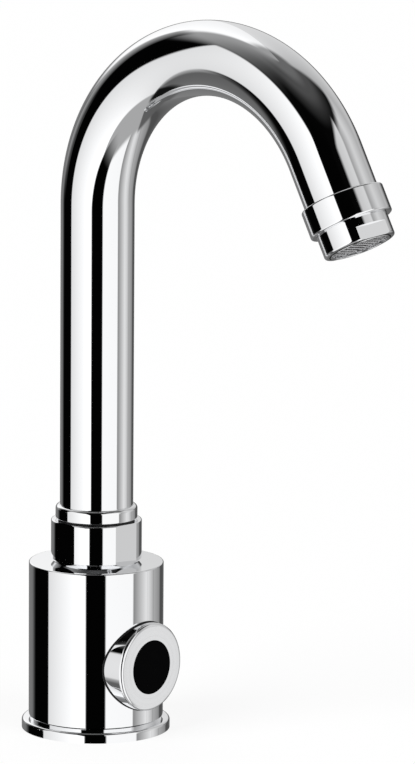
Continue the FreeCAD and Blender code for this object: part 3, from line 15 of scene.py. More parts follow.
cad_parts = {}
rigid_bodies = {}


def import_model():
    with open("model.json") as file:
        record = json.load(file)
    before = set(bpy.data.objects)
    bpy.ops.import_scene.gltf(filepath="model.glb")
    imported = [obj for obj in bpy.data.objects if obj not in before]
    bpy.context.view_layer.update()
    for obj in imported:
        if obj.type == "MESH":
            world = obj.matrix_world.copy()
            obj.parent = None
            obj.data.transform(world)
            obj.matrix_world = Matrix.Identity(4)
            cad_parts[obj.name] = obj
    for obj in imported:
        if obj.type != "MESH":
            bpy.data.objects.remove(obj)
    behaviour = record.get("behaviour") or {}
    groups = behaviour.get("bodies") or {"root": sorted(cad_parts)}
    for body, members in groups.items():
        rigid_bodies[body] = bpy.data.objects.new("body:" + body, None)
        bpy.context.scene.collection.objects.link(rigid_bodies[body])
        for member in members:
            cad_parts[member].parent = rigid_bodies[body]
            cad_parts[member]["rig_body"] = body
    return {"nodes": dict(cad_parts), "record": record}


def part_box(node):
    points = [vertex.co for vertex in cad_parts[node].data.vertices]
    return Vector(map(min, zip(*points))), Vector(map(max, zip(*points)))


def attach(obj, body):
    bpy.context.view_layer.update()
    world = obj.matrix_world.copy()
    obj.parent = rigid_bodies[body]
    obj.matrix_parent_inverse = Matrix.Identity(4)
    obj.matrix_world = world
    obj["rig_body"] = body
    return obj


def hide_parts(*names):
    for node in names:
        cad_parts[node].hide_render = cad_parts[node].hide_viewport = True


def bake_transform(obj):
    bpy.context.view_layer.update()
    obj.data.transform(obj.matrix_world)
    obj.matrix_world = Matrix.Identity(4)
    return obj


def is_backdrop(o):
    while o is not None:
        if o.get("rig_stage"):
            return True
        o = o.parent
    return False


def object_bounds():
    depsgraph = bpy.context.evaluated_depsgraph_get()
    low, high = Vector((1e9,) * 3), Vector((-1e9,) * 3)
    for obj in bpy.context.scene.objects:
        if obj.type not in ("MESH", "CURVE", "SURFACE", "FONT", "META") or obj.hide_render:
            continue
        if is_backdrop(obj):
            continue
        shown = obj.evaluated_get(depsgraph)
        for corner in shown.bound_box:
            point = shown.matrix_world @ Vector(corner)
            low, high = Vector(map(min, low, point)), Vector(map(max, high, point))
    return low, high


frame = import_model()
cad_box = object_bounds()
NODES = frame["nodes"]
MM = 0.001

# %% [markdown]
# ## The camera
# The photograph was taken with a long lens from a little above the tap, with the spout
# turned to the right. The camera's place and its three small turns were fitted to the
# straight tube, the bend and the ellipses of foot and outlet. The view is written as it
# stands in front of the tap, and then turned about the tap's own axis.

# %% Camera
VIEW_HEADING = math.radians(-47.134)
VIEW_DISTANCE = 1.71526
VIEW_HEIGHT = 0.42869
VIEW_YAW = math.radians(1.246)
VIEW_PITCH = math.radians(10.219)
VIEW_ROLL = math.radians(0.438)
VIEW_LENS = 243.25

right = Vector((math.cos(VIEW_YAW), -math.sin(VIEW_YAW), 0.0))
level_ahead = Vector((math.sin(VIEW_YAW), math.cos(VIEW_YAW), 0.0))
ahead = level_ahead * math.cos(VIEW_PITCH) - Vector((0, 0, math.sin(VIEW_PITCH)))
roll = Matrix.Rotation(VIEW_ROLL, 3, "Z")
axes = Matrix((right, right.cross(ahead), -ahead)).transposed() @ roll
turn = Matrix.Rotation(VIEW_HEADING, 4, "Z")
place = Matrix.Translation((0.0, -VIEW_DISTANCE, VIEW_HEIGHT)) @ axes.to_4x4()

camera_data = bpy.data.cameras.new("camera")
camera_data.lens = VIEW_LENS
camera_data.sensor_width = 36.0
camera_data.sensor_fit = "AUTO"
camera_data.clip_end = 200.0
camera = bpy.data.objects.new("camera", camera_data)
camera.matrix_world = turn @ place
bpy.context.scene.collection.objects.link(camera)
bpy.context.scene.camera = camera
print("camera at", [round(x, 3) for x in camera.matrix_world.translation])

# %% [markdown]
# ## Sums inside a node tree
# Shader trees and geometry trees both have a Math node. Writing a long rule as single
# nodes hides the rule, so a small class lets a socket be used like a number: each
# operator adds one Math node and gives back its output.

# %% Sockets that can be added and multiplied
class Field:
    """One number in a node tree, which changes over the surface or the direction."""

    def __init__(self, tree, socket):
        self.tree = tree
        self.socket = socket

    def use(self, operation, *others):
        node = self.tree.nodes.new("ShaderNodeMath")
        node.operation = operation
        for slot, value in zip(node.inputs, (self,) + others):
            if isinstance(value, Field):
                self.tree.links.new(value.socket, slot)
            else:
                slot.default_value = value
        return Field(self.tree, node.outputs[0])

    def __add__(self, other):
        return self.use("ADD", other)

    def __sub__(self, other):
        return self.use("SUBTRACT", other)

    def __mul__(self, other):
        return self.use("MULTIPLY", other)

    def __truediv__(self, other):
        return self.use("DIVIDE", other)

    def __neg__(self):
        return self.use("MULTIPLY", -1.0)

    def step(self, low, high, start=0.0, end=1.0, smooth=True):
        """Goes from start to end as this number goes from low to high."""
        node = self.tree.nodes.new("ShaderNodeMapRange")
        node.interpolation_type = "SMOOTHSTEP" if smooth else "LINEAR"
        values = (self, low, high, start, end)
        names = ("Value", "From Min", "From Max", "To Min", "To Max")
        for name, value in zip(names, values):
            if isinstance(value, Field):
                self.tree.links.new(value.socket, node.inputs[name])
            else:
                node.inputs[name].default_value = value
        return Field(self.tree, node.outputs["Result"])


def vector(tree, x, y, z):
    """Three numbers or fields put together as a vector socket."""
    node = tree.nodes.new("ShaderNodeCombineXYZ")
    for slot, value in zip(node.inputs, (x, y, z)):
        if isinstance(value, Field):
            tree.links.new(value.socket, slot)
        else:
            slot.default_value = value
    return node.outputs[0]


def parts_of(tree, socket):
    """The x, y and z of a vector socket, as fields."""
    node = tree.nodes.new("ShaderNodeSeparateXYZ")
    tree.links.new(socket, node.inputs[0])
    return [Field(tree, out) for out in node.outputs]


def group_tree(name, kind, inputs, outputs):
    """A node group with named number inputs, and its input fields by name."""
    tree = bpy.data.node_groups.new(name, kind)
    for label, socket_type, value in inputs:
        made = tree.interface.new_socket(label, in_out="INPUT", socket_type=socket_type)
        if value is not None:
            made.default_value = value
    for label, socket_type in outputs:
        tree.interface.new_socket(label, in_out="OUTPUT", socket_type=socket_type)
    source = tree.nodes.new("NodeGroupInput")
    sink = tree.nodes.new("NodeGroupOutput")
    named = {label: Field(tree, source.outputs[label]) for label, _, _ in inputs}
    return tree, named, sink


FLOAT = "NodeSocketFloat"
print("node sums ready")

# %% [markdown]
# ## The studio
# Chrome has no colour of its own: it shows the room. A product photographer hangs a
# white card on each side of the tap, leaves a dark gap round the camera, and sets a
# black flag where an edge should be dark. Here the room is the world's background, as a
# rule on azimuth and elevation, so the reflections stay true from every side. One node
# group paints one card over what is under it. Its edges are soft, its sides may lean,
# and its level may change from the left to the right end. Azimuth 0 is towards the
# camera and grows to the camera's right.

# %% Card group
CARD_INPUTS = ("Under", "Azimuth", "Elevation", "Left", "Right", "Low", "High",
               "Side Softness", "End Softness", "Left Level", "Right Level",
               "Left Lean", "Right Lean")
card_tree, given, card_out = group_tree(
    "studio card", "ShaderNodeTree",
    [(label, FLOAT, 1.0) for label in CARD_INPUTS], [("Level", FLOAT)])
azimuth, elevation = given["Azimuth"], given["Elevation"]
side, end = given["Side Softness"], given["End Softness"]
left_edge = given["Left"] + given["Left Lean"] * elevation
right_edge = given["Right"] + given["Right Lean"] * elevation
inside = azimuth.step(left_edge - side, left_edge + side)
inside = inside * azimuth.step(right_edge - side, right_edge + side, 1.0, 0.0)
inside = inside * elevation.step(given["Low"] - end, given["Low"] + end)
inside = inside * elevation.step(given["High"] - end, given["High"] + end, 1.0, 0.0)
level = azimuth.step(given["Left"], given["Right"], given["Left Level"],
                     given["Right Level"], smooth=False)
painted = given["Under"] + (level - given["Under"]) * inside
card_tree.links.new(painted.socket, card_out.inputs["Level"])
print("card group has", len(card_tree.nodes), "nodes")

# %% [markdown]
# The cards are listed from the back of the room to the front, because a later card
# covers an earlier one. The straight top and bottom edges of a tall card look curved
# from the tap, nearer to the horizon towards the far end. The front cards get such edges
# by a rule: the edge's slope as seen straight on, and where the card faces. They have
# None in the table.

# %% Cards
FACING = 85.0

# name: left, right, low, high, side softness, end softness, left level, right level
CARDS = {
    "floor in front": (-100, 100, -95, 2, 6, 1, 0.65, 0.65),
    "floor behind left": (-190, -92, -58, 6, 3, 4, 0.50, 0.36),
    "dark patch at left": (-128, -88, -78, -58, 6, 4, 0.07, 0.07),
    "ceiling glow": (-200, 200, 53, 95, 1, 7, 0.18, 0.18),
    "ceiling middle": (-200, 200, 62, 95, 1, 6, 0.29, 0.29),
    "ceiling top": (-200, 200, 76, 95, 1, 6, 0.40, 0.40),
    "ceiling at left": (-215, -80, 40, 95, 45, 8, 0.60, 0.60),
    "rear wall left": (-225, -148, 8, 74, 8, 5, 0.86, 1.00),
    "rear wall right": (121, 210, 8, 75, 8, 6, 0.66, 0.93),
    "side wall left": (-142, -122, -5, 42, 3, 5, 0.62, 0.02),
    "left flag": (-121, -80, -20, 33, 4, 5, 0.01, 0.01),
    "low left flag": (-135, -96, -21, -4, 9, 4, 0.01, 0.01),
    "low side right": (66, 98, None, 4, 2, 4, 0.50, 0.90),
    "low right": (98, 115, -64, 2, 2, 4, 0.88, 0.67),
    "low rear right": (115, 143, -64, 2, 3, 4, 0.67, 0.50),
    "dark corner": (140, 157, -64, 0, 4, 4, 0.30, 0.30),
    "low rear corner": (157, 200, -64, -2, 4, 4, 0.33, 0.53),
    "upper right far card": (96, 128, -5, 44.5, 3, 4, 0.82, 0.68),
    "upper right side card": (70, 98, -5, 45, 2, 4, 0.58, 0.82),
    "upper right card": (14, 71, -5, None, 3, 3, 0.72, 0.83),
    "right card": (13.5, 66.5, None, 27, 1.5, 5, 0.98, 0.97),
    "left card": (-89.4, -21.4, None, None, 1.1, 2.2, 0.865, 1.05),
    "camera gap": (-19.4, 15.5, -47, 42, 1.6, 13, 0.01, 0.01),
}
CARD_FACING = {"upper right card": FACING, "right card": FACING, "low side right": FACING,
               "left card": -FACING}
TOP_SLOPES = {"upper right card": 1.22, "left card": 0.86}
BOTTOM_SLOPE = -2.29
LEANS = {"rear wall left": (0.0, 0.30), "left card": (0.0, -0.32),
         "camera gap": (-0.14, -0.06)}
print(len(CARDS), "cards,", len(CARD_FACING), "with curved edges")

# %% [markdown]
# Levels are written as they look on a screen, and one function turns them into light
# values. The room starts as a dim floor under a dark ceiling, and the cards are painted
# over it one by one.

# %% World
HORIZON_SOFTNESS = 4.0
LOW_LEVEL, HIGH_LEVEL = 0.36, 0.02


def display(value):
    """The light value that looks like this level on a screen."""
    return ((value + 0.055) / 1.055) ** 2.4 if value > 0.04 else value / 12.92


world = bpy.data.worlds.new("studio")
world.use_nodes = True
bpy.context.scene.world = world
sky = world.node_tree
sky.nodes.clear()
direction = sky.nodes.new("ShaderNodeTexCoord").outputs["Generated"]
turned_view = sky.nodes.new("ShaderNodeVectorRotate")
turned_view.rotation_type = "Z_AXIS"
turned_view.inputs["Angle"].default_value = -VIEW_HEADING
sky.links.new(direction, turned_view.inputs["Vector"])
x, y, z = parts_of(sky, turned_view.outputs["Vector"])
azimuth = x.use("ARCTAN2", -y).use("DEGREES")
elevation = z.use("ARCSINE").use("DEGREES")
room = elevation.step(-HORIZON_SOFTNESS, HORIZON_SOFTNESS, display(LOW_LEVEL),
                      display(HIGH_LEVEL))
for name, (left, right_end, low, high, side, end, *levels) in CARDS.items():
    if name in CARD_FACING:
        across = (azimuth - CARD_FACING[name]).use("RADIANS").use("COSINE")
    if high is None:
        high = (across * TOP_SLOPES[name]).use("ARCTANGENT").use("DEGREES")
    if low is None:
        low = (across * BOTTOM_SLOPE).use("ARCTANGENT").use("DEGREES")
    card = sky.nodes.new("ShaderNodeGroup")
    card.node_tree = card_tree
    card.label = name
    values = (room, azimuth, elevation, left, right_end, low, high, side, end,
              *(display(level) for level in levels), *LEANS.get(name, (0.0, 0.0)))
    for label, value in zip(CARD_INPUTS, values):
        if isinstance(value, Field):
            sky.links.new(value.socket, card.inputs[label])
        else:
            card.inputs[label].default_value = value
    room = Field(sky, card.outputs["Level"])
print("studio has", len(CARDS), "cards")

# %% [markdown]
# The camera, and anything seen through clear material, gets a plain white room. Metal
# mirrors the cards, which are as white as that room, and the dark gap between them. The
# cards' light is divided by the chrome's tint, so that chrome shows the levels as listed.

# %% Background
CHROME_TINT = (0.93, 0.935, 0.945)
path = sky.nodes.new("ShaderNodeLightPath")
seen = Field(sky, path.outputs["Is Camera Ray"])
seen = seen.use("MAXIMUM", Field(sky, path.outputs["Is Transmission Ray"]))
strength = room / CHROME_TINT[0]
strength = strength + (-strength + 1.0) * seen
background = sky.nodes.new("ShaderNodeBackground")
background.inputs["Color"].default_value = (1.0, 1.0, 1.0, 1.0)
sky.links.new(strength.socket, background.inputs["Strength"])
sky_out = sky.nodes.new("ShaderNodeOutputWorld")
sky.links.new(background.outputs[0], sky_out.inputs["Surface"])
print("white to the camera, cards to mirrors")

# %% [markdown]
# Matt parts and the deck's shadow need real lamps: a key light from the left and a
# weaker fill from the right, both with soft edges. Mirrors don't see them.

# %% Lamps
SUN_SPREAD = math.radians(35.0)


def sun(name, azimuth_degrees, elevation_degrees, energy):
    """A soft far lamp, placed by azimuth and elevation like the cards."""
    data = bpy.data.lights.new(name, "SUN")
    data.energy = energy
    data.angle = SUN_SPREAD
    lamp = bpy.data.objects.new(name, data)
    a, e = math.radians(azimuth_degrees), math.radians(elevation_degrees)
    towards = Vector((math.sin(a) * math.cos(e), -math.cos(a) * math.cos(e), math.sin(e)))
    towards.rotate(Matrix.Rotation(VIEW_HEADING, 3, "Z"))
    lamp.rotation_euler = towards.to_track_quat("Z", "Y").to_euler()
    lamp.visible_glossy = False
    bpy.context.scene.collection.objects.link(lamp)


sun("key light", azimuth_degrees=-52.0, elevation_degrees=48.0, energy=1.9)
sun("fill light", azimuth_degrees=48.0, elevation_degrees=40.0, energy=1.2)
print("two soft lamps")

# %% [markdown]
# ## The deck
# The tap stands on a plain white surface. For the camera it is mostly a white glow with
# some true diffuse reflection left in it, so that it reads as white paper and still
# takes the tap's soft shadow. Mirrors see the studio's lower cards in its place.

# %% Floor
FLOOR_HALF = 40.0
FLOOR_GLOW = 0.85
PAPER_WHITE = (0.9, 0.9, 0.9, 1.0)
floor_mesh = bpy.data.meshes.new("floor")
corners = [(-FLOOR_HALF, -FLOOR_HALF, 0), (FLOOR_HALF, -FLOOR_HALF, 0),
           (FLOOR_HALF, FLOOR_HALF, 0), (-FLOOR_HALF, FLOOR_HALF, 0)]
floor_mesh.from_pydata(corners, [], [(0, 1, 2, 3)])
floor = bpy.data.objects.new("floor", floor_mesh)
bpy.context.scene.collection.objects.link(floor)
floor.visible_glossy = False
paper = bpy.data.materials.new("white paper")
paper.use_nodes = True
nodes, links = paper.node_tree.nodes, paper.node_tree.links
nodes.clear()
matt = nodes.new("ShaderNodeBsdfDiffuse")
matt.inputs["Color"].default_value = PAPER_WHITE
glow = nodes.new("ShaderNodeEmission")
glow.inputs["Color"].default_value = (1.0, 1.0, 1.0, 1.0)
share = nodes.new("ShaderNodeMath")
share.operation = "MULTIPLY"
share.inputs[1].default_value = FLOOR_GLOW
links.new(nodes.new("ShaderNodeLightPath").outputs["Is Camera Ray"], share.inputs[0])
mixed = nodes.new("ShaderNodeMixShader")
links.new(share.outputs[0], mixed.inputs["Fac"])
links.new(matt.outputs[0], mixed.inputs[1])
links.new(glow.outputs[0], mixed.inputs[2])
links.new(mixed.outputs[0], nodes.new("ShaderNodeOutputMaterial").inputs["Surface"])
floor_mesh.materials.append(paper)
floor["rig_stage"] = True
print("floor of", 2 * FLOOR_HALF, "m")

# %% [markdown]
# ## Effects that several finishes share
# Real surfaces vary a little everywhere. Four shader groups hold such effects. They put
# out only numbers that change over the surface, and each finish feeds them to its own
# Principled shader. All four are made from noise on the object's own coordinates.

# %% Noise
VECTOR = "NodeSocketVector"


def noise(tree, where, scale, detail=2.0, stretch=None):
    """A noise value around 0.5, at that scale, on a vector socket."""
    if stretch:
        mapping = tree.nodes.new("ShaderNodeMapping")
        mapping.inputs["Scale"].default_value = stretch
        tree.links.new(where, mapping.inputs["Vector"])
        where = mapping.outputs["Vector"]
    node = tree.nodes.new("ShaderNodeTexNoise")
    node.inputs["Detail"].default_value = detail
    tree.links.new(where, node.inputs["Vector"])
    if isinstance(scale, Field):
        tree.links.new(scale.socket, node.inputs["Scale"])
    else:
        node.inputs["Scale"].default_value = scale
    return Field(tree, node.outputs["Fac"])


print("noise helper ready")

# %% [markdown]
# *Polish* is what a cloth and water leave on metal: slow clouds in the gloss, and
# hair-fine wiping marks up and round, only in some places.

# %% Polish
polish, given, out = group_tree(
    "polish", "ShaderNodeTree",
    [("Position", VECTOR, None), ("Gloss Roughness", FLOAT, 0.03),
     ("Cloud Scale", FLOAT, 40.0), ("Cloud Amount", FLOAT, 0.01), ("Wipe Amount", FLOAT, 0.01)],
    [("Roughness", FLOAT), ("Height", FLOAT)])
spot = given["Position"].socket
cloud = noise(polish, spot, given["Cloud Scale"], 3.0).step(0.3, 0.75)
wipe_up = noise(polish, spot, 900.0, 1.0, (1.0, 1.0, 0.04)).step(0.62, 0.80)
wipe_round = noise(polish, spot, 700.0, 1.0, (0.05, 0.05, 1.0)).step(0.64, 0.82)
marks = (wipe_up + wipe_round) * noise(polish, spot, 22.0).step(0.45, 0.65)
rough = given["Gloss Roughness"] + cloud * given["Cloud Amount"] + marks * given["Wipe Amount"]
polish.links.new(rough.socket, out.inputs["Roughness"])
polish.links.new(marks.socket, out.inputs["Height"])
print("polish has", len(polish.nodes), "nodes")

# %% [markdown]
# *Edge wear* is where hands rub first. The broken edges are marked on the mesh by an
# attribute, and noise breaks the mark into spots.

# %% Edge wear
edge_wear, given, out = group_tree(
    "edge wear", "ShaderNodeTree",
    [("Position", VECTOR, None), ("Spot Scale", FLOAT, 300.0), ("Amount", FLOAT, 1.0)],
    [("Mask", FLOAT)])
edge = edge_wear.nodes.new("ShaderNodeAttribute")
edge.attribute_name = "edge"
spots = noise(edge_wear, given["Position"].socket, given["Spot Scale"], 4.0).step(0.35, 0.7)
mask = Field(edge_wear, edge.outputs["Fac"]) * (spots * 0.7 + 0.3) * given["Amount"]
edge_wear.links.new(mask.socket, out.inputs["Mask"])
print("edge wear has", len(edge_wear.nodes), "nodes")

# %% [markdown]
# *Turning marks* are the fine rings that a lathe tool leaves on a face. Noise along the
# distance from the axis gives rings that are never quite even.

# %% Turning marks
turning, given, out = group_tree(
    "turning marks", "ShaderNodeTree",
    [("Across X", FLOAT, 0.0), ("Across Y", FLOAT, 0.0), ("Rings per Metre", FLOAT, 3000.0)],
    [("Height", FLOAT), ("Mask", FLOAT)])
radius = (given["Across X"] * given["Across X"] + given["Across Y"] * given["Across Y"]).use("SQRT")
ring_line = vector(turning, radius * given["Rings per Metre"], 0.0, 0.0)
rings = noise(turning, ring_line, 1.0, 3.0)
turning.links.new(rings.socket, out.inputs["Height"])
turning.links.new(rings.step(0.45, 0.7).socket, out.inputs["Mask"])
print("turning marks have", len(turning.nodes), "nodes")

# %% [markdown]
# *Moulded grain* is the fine pitted skin of moulded plastic and rubber, with a slow
# change of shade over it.

# %% Moulded grain
grain, given, out = group_tree(
    "moulded grain", "ShaderNodeTree",
    [("Position", VECTOR, None), ("Grain Scale", FLOAT, 2500.0), ("Shade Scale", FLOAT, 60.0)],
    [("Height", FLOAT), ("Shade", FLOAT)])
spot = given["Position"].socket
pits = noise(grain, spot, given["Grain Scale"], 2.0).step(0.35, 0.65)
grain.links.new(pits.socket, out.inputs["Height"])
shade = noise(grain, spot, given["Shade Scale"], 4.0).step(0.3, 0.7)
grain.links.new(shade.socket, out.inputs["Shade"])
print("shared groups:", [g.name for g in bpy.data.node_groups])

# %% [markdown]
# ## The finishes
# Each finish is one material with its own Principled shader. A plain number is set on
# the shader's socket, and only what changes over the surface comes by a link. One
# helper starts a material and gives the pieces that all finishes need.

# %% Material helper
class Finish:
    """A material in the making: its shader, its object coordinates and its groups."""

    def __init__(self, name, colour, roughness, metallic=0.0, ior=1.5):
        self.material = bpy.data.materials.new(name)
        self.material.use_nodes = True
        self.tree = self.material.node_tree
        self.shader = self.tree.nodes["Principled BSDF"]
        self.set("Base Color", (*colour, 1.0))
        self.set("Roughness", roughness)
        self.set("Metallic", metallic)
        self.set("IOR", ior)
        self.material.diffuse_color = (*colour, 1.0)
        self.position = self.tree.nodes.new("ShaderNodeTexCoord").outputs["Object"]

    def set(self, name, value):
        self.shader.inputs[name].default_value = value

    def link(self, field, name):
        self.tree.links.new(field.socket, self.shader.inputs[name])

    def group(self, tree, **values):
        """Places a shared group, with inputs written like Cloud_Scale, and its outputs."""
        node = self.tree.nodes.new("ShaderNodeGroup")
        node.node_tree = tree
        if "Position" in node.inputs:
            self.tree.links.new(self.position, node.inputs["Position"])
        for name, value in values.items():
            slot = node.inputs[name.replace("_", " ")]
            if isinstance(value, Field):
                self.tree.links.new(value.socket, slot)
            else:
                slot.default_value = value
        return {out.name: Field(self.tree, out) for out in node.outputs}

    def blend(self, factor, first, second, name):
        """Goes from the first colour to the second with a mask, into a shader socket."""
        node = self.tree.nodes.new("ShaderNodeMix")
        node.data_type = "RGBA"
        self.tree.links.new(factor.socket, node.inputs[0])
        node.inputs[6].default_value = (*first, 1.0)
        node.inputs[7].default_value = (*second, 1.0)
        self.tree.links.new(node.outputs[2], self.shader.inputs[name])

    def bump(self, height, distance, strength=1.0):
        """Turns a height into the shader's normal; distance is in metres."""
        node = self.tree.nodes.new("ShaderNodeBump")
        node.inputs["Distance"].default_value = distance
        node.inputs["Strength"].default_value = strength
        self.tree.links.new(height.socket, node.inputs["Height"])
        self.tree.links.new(node.outputs["Normal"], self.shader.inputs["Normal"])


def scaled(colour, factor):
    return tuple(min(1.0, c * factor) for c in colour)


print("finish helper ready")

# %% [markdown]
# Bright chrome plate is nearly a perfect mirror with a faint blue tint. Its polish is
# cloudy only at the limit of what the eye sees, and its edges, where hands and cloths
# rub, are a little brighter and rougher. The bezel's face has a second chrome: plated
# over fine turning marks round the sensor's axis.

# %% Chrome
SENSOR_Z = 24.65 * MM


def chrome_finish(name, gloss):
    finish = Finish(name, CHROME_TINT, gloss, metallic=1.0)
    skin = finish.group(polish, Gloss_Roughness=gloss, Cloud_Scale=35.0,
                        Cloud_Amount=0.012, Wipe_Amount=0.03)
    wear = finish.group(edge_wear, Spot_Scale=350.0, Amount=1.0)
    finish.link(skin["Roughness"] + wear["Mask"] * 0.06, "Roughness")
    finish.blend(wear["Mask"], CHROME_TINT, scaled(CHROME_TINT, 1.04), "Base Color")
    return finish, skin


chrome, skin = chrome_finish("chrome", 0.022)
chrome.bump(skin["Height"], 0.0000006)

turned_chrome, skin = chrome_finish("turned chrome", 0.10)
at_x, _, at_z = parts_of(turned_chrome.tree, turned_chrome.position)
tool_marks = turned_chrome.group(turning, Across_X=at_x, Across_Y=at_z - SENSOR_Z,
                                 Rings_per_Metre=2100.0)
turned_chrome.bump(tool_marks["Height"], 0.00003, 0.6)
turned_chrome.link(skin["Roughness"] + tool_marks["Mask"] * 0.10, "Roughness")
print("chrome and turned chrome")

# %% [markdown]
# Inside and underneath are the plain metals: turned brass, drawn copper, and steel.
# They share the polish and wear groups, with more cloud for the duller ones.

# %% Plain metals
def metal_finish(name, colour, dark, gloss, cloud_scale, cloud):
    finish = Finish(name, colour, gloss, metallic=1.0)
    skin = finish.group(polish, Gloss_Roughness=gloss, Cloud_Scale=cloud_scale,
                        Cloud_Amount=cloud, Wipe_Amount=0.12)
    wear = finish.group(edge_wear, Spot_Scale=500.0, Amount=1.0)
    stain = noise(finish.tree, finish.position, cloud_scale * 1.7, 4.0).step(0.35, 0.75)
    finish.blend(stain * (-wear["Mask"] + 1.0), colour, dark, "Base Color")
    finish.link(skin["Roughness"], "Roughness")
    finish.bump(skin["Height"], 0.000004)
    return finish


brass = metal_finish("brass", (0.80, 0.58, 0.27), (0.62, 0.42, 0.19), 0.22, 130.0, 0.16)
copper = metal_finish("copper", (0.90, 0.50, 0.33), (0.66, 0.33, 0.21), 0.20, 110.0, 0.15)
steel = metal_finish("steel", (0.60, 0.60, 0.61), (0.47, 0.47, 0.48), 0.24, 160.0, 0.14)
print("brass, copper, steel")

# %% [markdown]
# Rubber, plastics and the board are dull next to the chrome. The moulded grain gives
# them a fine skin that breaks up their highlights, and a slow change of shade. The
# coil's enamelled wire is a coloured metal.

# %% Rubber, plastics and wire
def moulded_finish(name, colour, light, gloss, pits, depth):
    finish = Finish(name, colour, gloss)
    finish.set("Specular IOR Level", 0.25)
    skin = finish.group(grain, Grain_Scale=pits, Shade_Scale=70.0)
    finish.blend(skin["Shade"], colour, light, "Base Color")
    finish.link(skin["Shade"] * 0.08 + gloss, "Roughness")
    finish.bump(skin["Height"], depth)
    return finish


rubber = moulded_finish("rubber", (0.006, 0.006, 0.0065), (0.014, 0.0135, 0.013),
                        0.62, 1800.0, 0.00002)
black_plastic = moulded_finish("black plastic", (0.010, 0.010, 0.011), (0.022, 0.022, 0.024),
                               0.40, 2600.0, 0.00001)
white_plastic = moulded_finish("white plastic", (0.72, 0.72, 0.70), (0.80, 0.80, 0.79),
                               0.36, 2600.0, 0.000006)
circuit_board = moulded_finish("circuit board", (0.012, 0.11, 0.045), (0.02, 0.16, 0.065),
                               0.32, 3200.0, 0.000006)
winding = metal_finish("enamelled wire", (0.58, 0.22, 0.10), (0.42, 0.13, 0.06),
                       0.25, 300.0, 0.1)
print(len(bpy.data.materials), "materials so far")

# %% [markdown]
# The window lets only infrared light through, so to the eye it is black with hardly a
# shine. The two diodes behind it are drops of dark resin.

# %% Window and diodes
window = Finish("dark window", (0.001, 0.001, 0.0012), 0.03, ior=1.45)
window.set("Specular IOR Level", 0.01)
film = window.group(polish, Gloss_Roughness=0.03, Cloud_Scale=60.0, Cloud_Amount=0.02,
                    Wipe_Amount=0.05)
window.link(film["Roughness"], "Roughness")
window.bump(film["Height"], 0.000001)

diode = Finish("diode resin", (0.035, 0.012, 0.030), 0.08, ior=1.55)
film = diode.group(polish, Gloss_Roughness=0.06, Cloud_Scale=200.0, Cloud_Amount=0.06,
                   Wipe_Amount=0.05)
diode.link(film["Roughness"], "Roughness")
print(len(bpy.data.materials), "materials")

# %% [markdown]
# The record says which finish each part has, so the parts that keep their own shape
# take their material by that name.

# %% Finishes on the parts
FINISHES = {"chrome": chrome, "rubber": rubber, "brass": brass, "steel": steel,
            "copper": copper, "black_plastic": black_plastic,
            "white_plastic": white_plastic, "winding": winding, "window": window,
            "diode": diode, "circuit_board": circuit_board}
node_slots = {part["node"]: part["material_slot"] for part in frame["record"]["subparts"]}
for node, thing in NODES.items():
    finish = FINISHES[node_slots[node]]
    if not thing.material_slots:
        thing.data.materials.append(None)
    for holder in thing.material_slots:
        holder.material = finish.material
print("finished", len(node_slots), "parts")

# %% [markdown]
# ## Turned chrome parts with true normals
# Flange, body, union, bezel, collar and aerator casing are turned on a lathe. Their
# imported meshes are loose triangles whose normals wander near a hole, and a mirror shows
# that as dents. So each is copied and mended. The first step welds the copy into one
# closed skin.

# %% Welding
WELD = 1e-6


def welded(node):
    """Places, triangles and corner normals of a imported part, with shared corners."""
    mesh = NODES[node].data
    loose = np.zeros(len(mesh.vertices) * 3)
    mesh.vertices.foreach_get("co", loose)
    loose = loose.reshape(-1, 3)
    _, first, same = np.unique(np.round(loose / WELD).astype(np.int64), axis=0,
                               return_index=True, return_inverse=True)
    loops = np.zeros(len(mesh.loops), np.int64)
    mesh.loops.foreach_get("vertex_index", loops)
    normals = np.zeros(len(mesh.loops) * 3)
    mesh.corner_normals.foreach_get("vector", normals)
    triangles = same.reshape(-1)[loops].reshape(-1, 3)
    normals = normals.reshape(-1, 3, 3)
    whole = ((triangles[:, 0] != triangles[:, 1]) & (triangles[:, 1] != triangles[:, 2])
             & (triangles[:, 2] != triangles[:, 0]))
    return loose[first], triangles[whole], normals[whole]


print("points closer than", WELD, "m are welded")

# %% [markdown]
# The second step gives the copy the normals of the shape itself: on a wall parallel to
# the axis the normal points straight out from the axis. Narrow faces that lean between
# wall and end are the broken edges, and are marked for the edge wear.

# %% True normals
NO_AREA, NO_LENGTH = 1e-20, 1e-9
SAME_RADIUS = 6e-6
WALL_LEAN = 0.02
EDGE_LEAN_FROM, EDGE_LEAN_TO = 0.08, 0.985


def true_normals(points, triangles, normals, axis_line):
    """Sets walls round the axis straight out from it; gives the mask of broken edges."""
    origin, axis = (np.array(part) for part in axis_line)
    corners = points[triangles]
    face = np.cross(corners[:, 1] - corners[:, 0], corners[:, 2] - corners[:, 0])
    face /= np.maximum(np.linalg.norm(face, axis=1), NO_AREA)[:, None]
    lean = np.abs(face @ axis)
    out = corners - origin
    out -= (out @ axis)[..., None] * axis
    radius = np.linalg.norm(out, axis=2)
    wall = (lean < WALL_LEAN) & (np.ptp(radius, axis=1) < SAME_RADIUS)
    straight = out / np.maximum(radius, NO_LENGTH)[..., None]
    facing = np.sign(np.einsum("fci,fi->f", straight, face))
    normals[wall] = (straight * facing[:, None, None])[wall]
    return (lean > EDGE_LEAN_FROM) & (lean < EDGE_LEAN_TO)


print("edges lean between", EDGE_LEAN_FROM, "and", EDGE_LEAN_TO)

# %% [markdown]
# A piece made in this script is a mesh on an object at the origin. It rides on one of
# the tap's bodies, so that it moves with the joint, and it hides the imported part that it
# stands for.

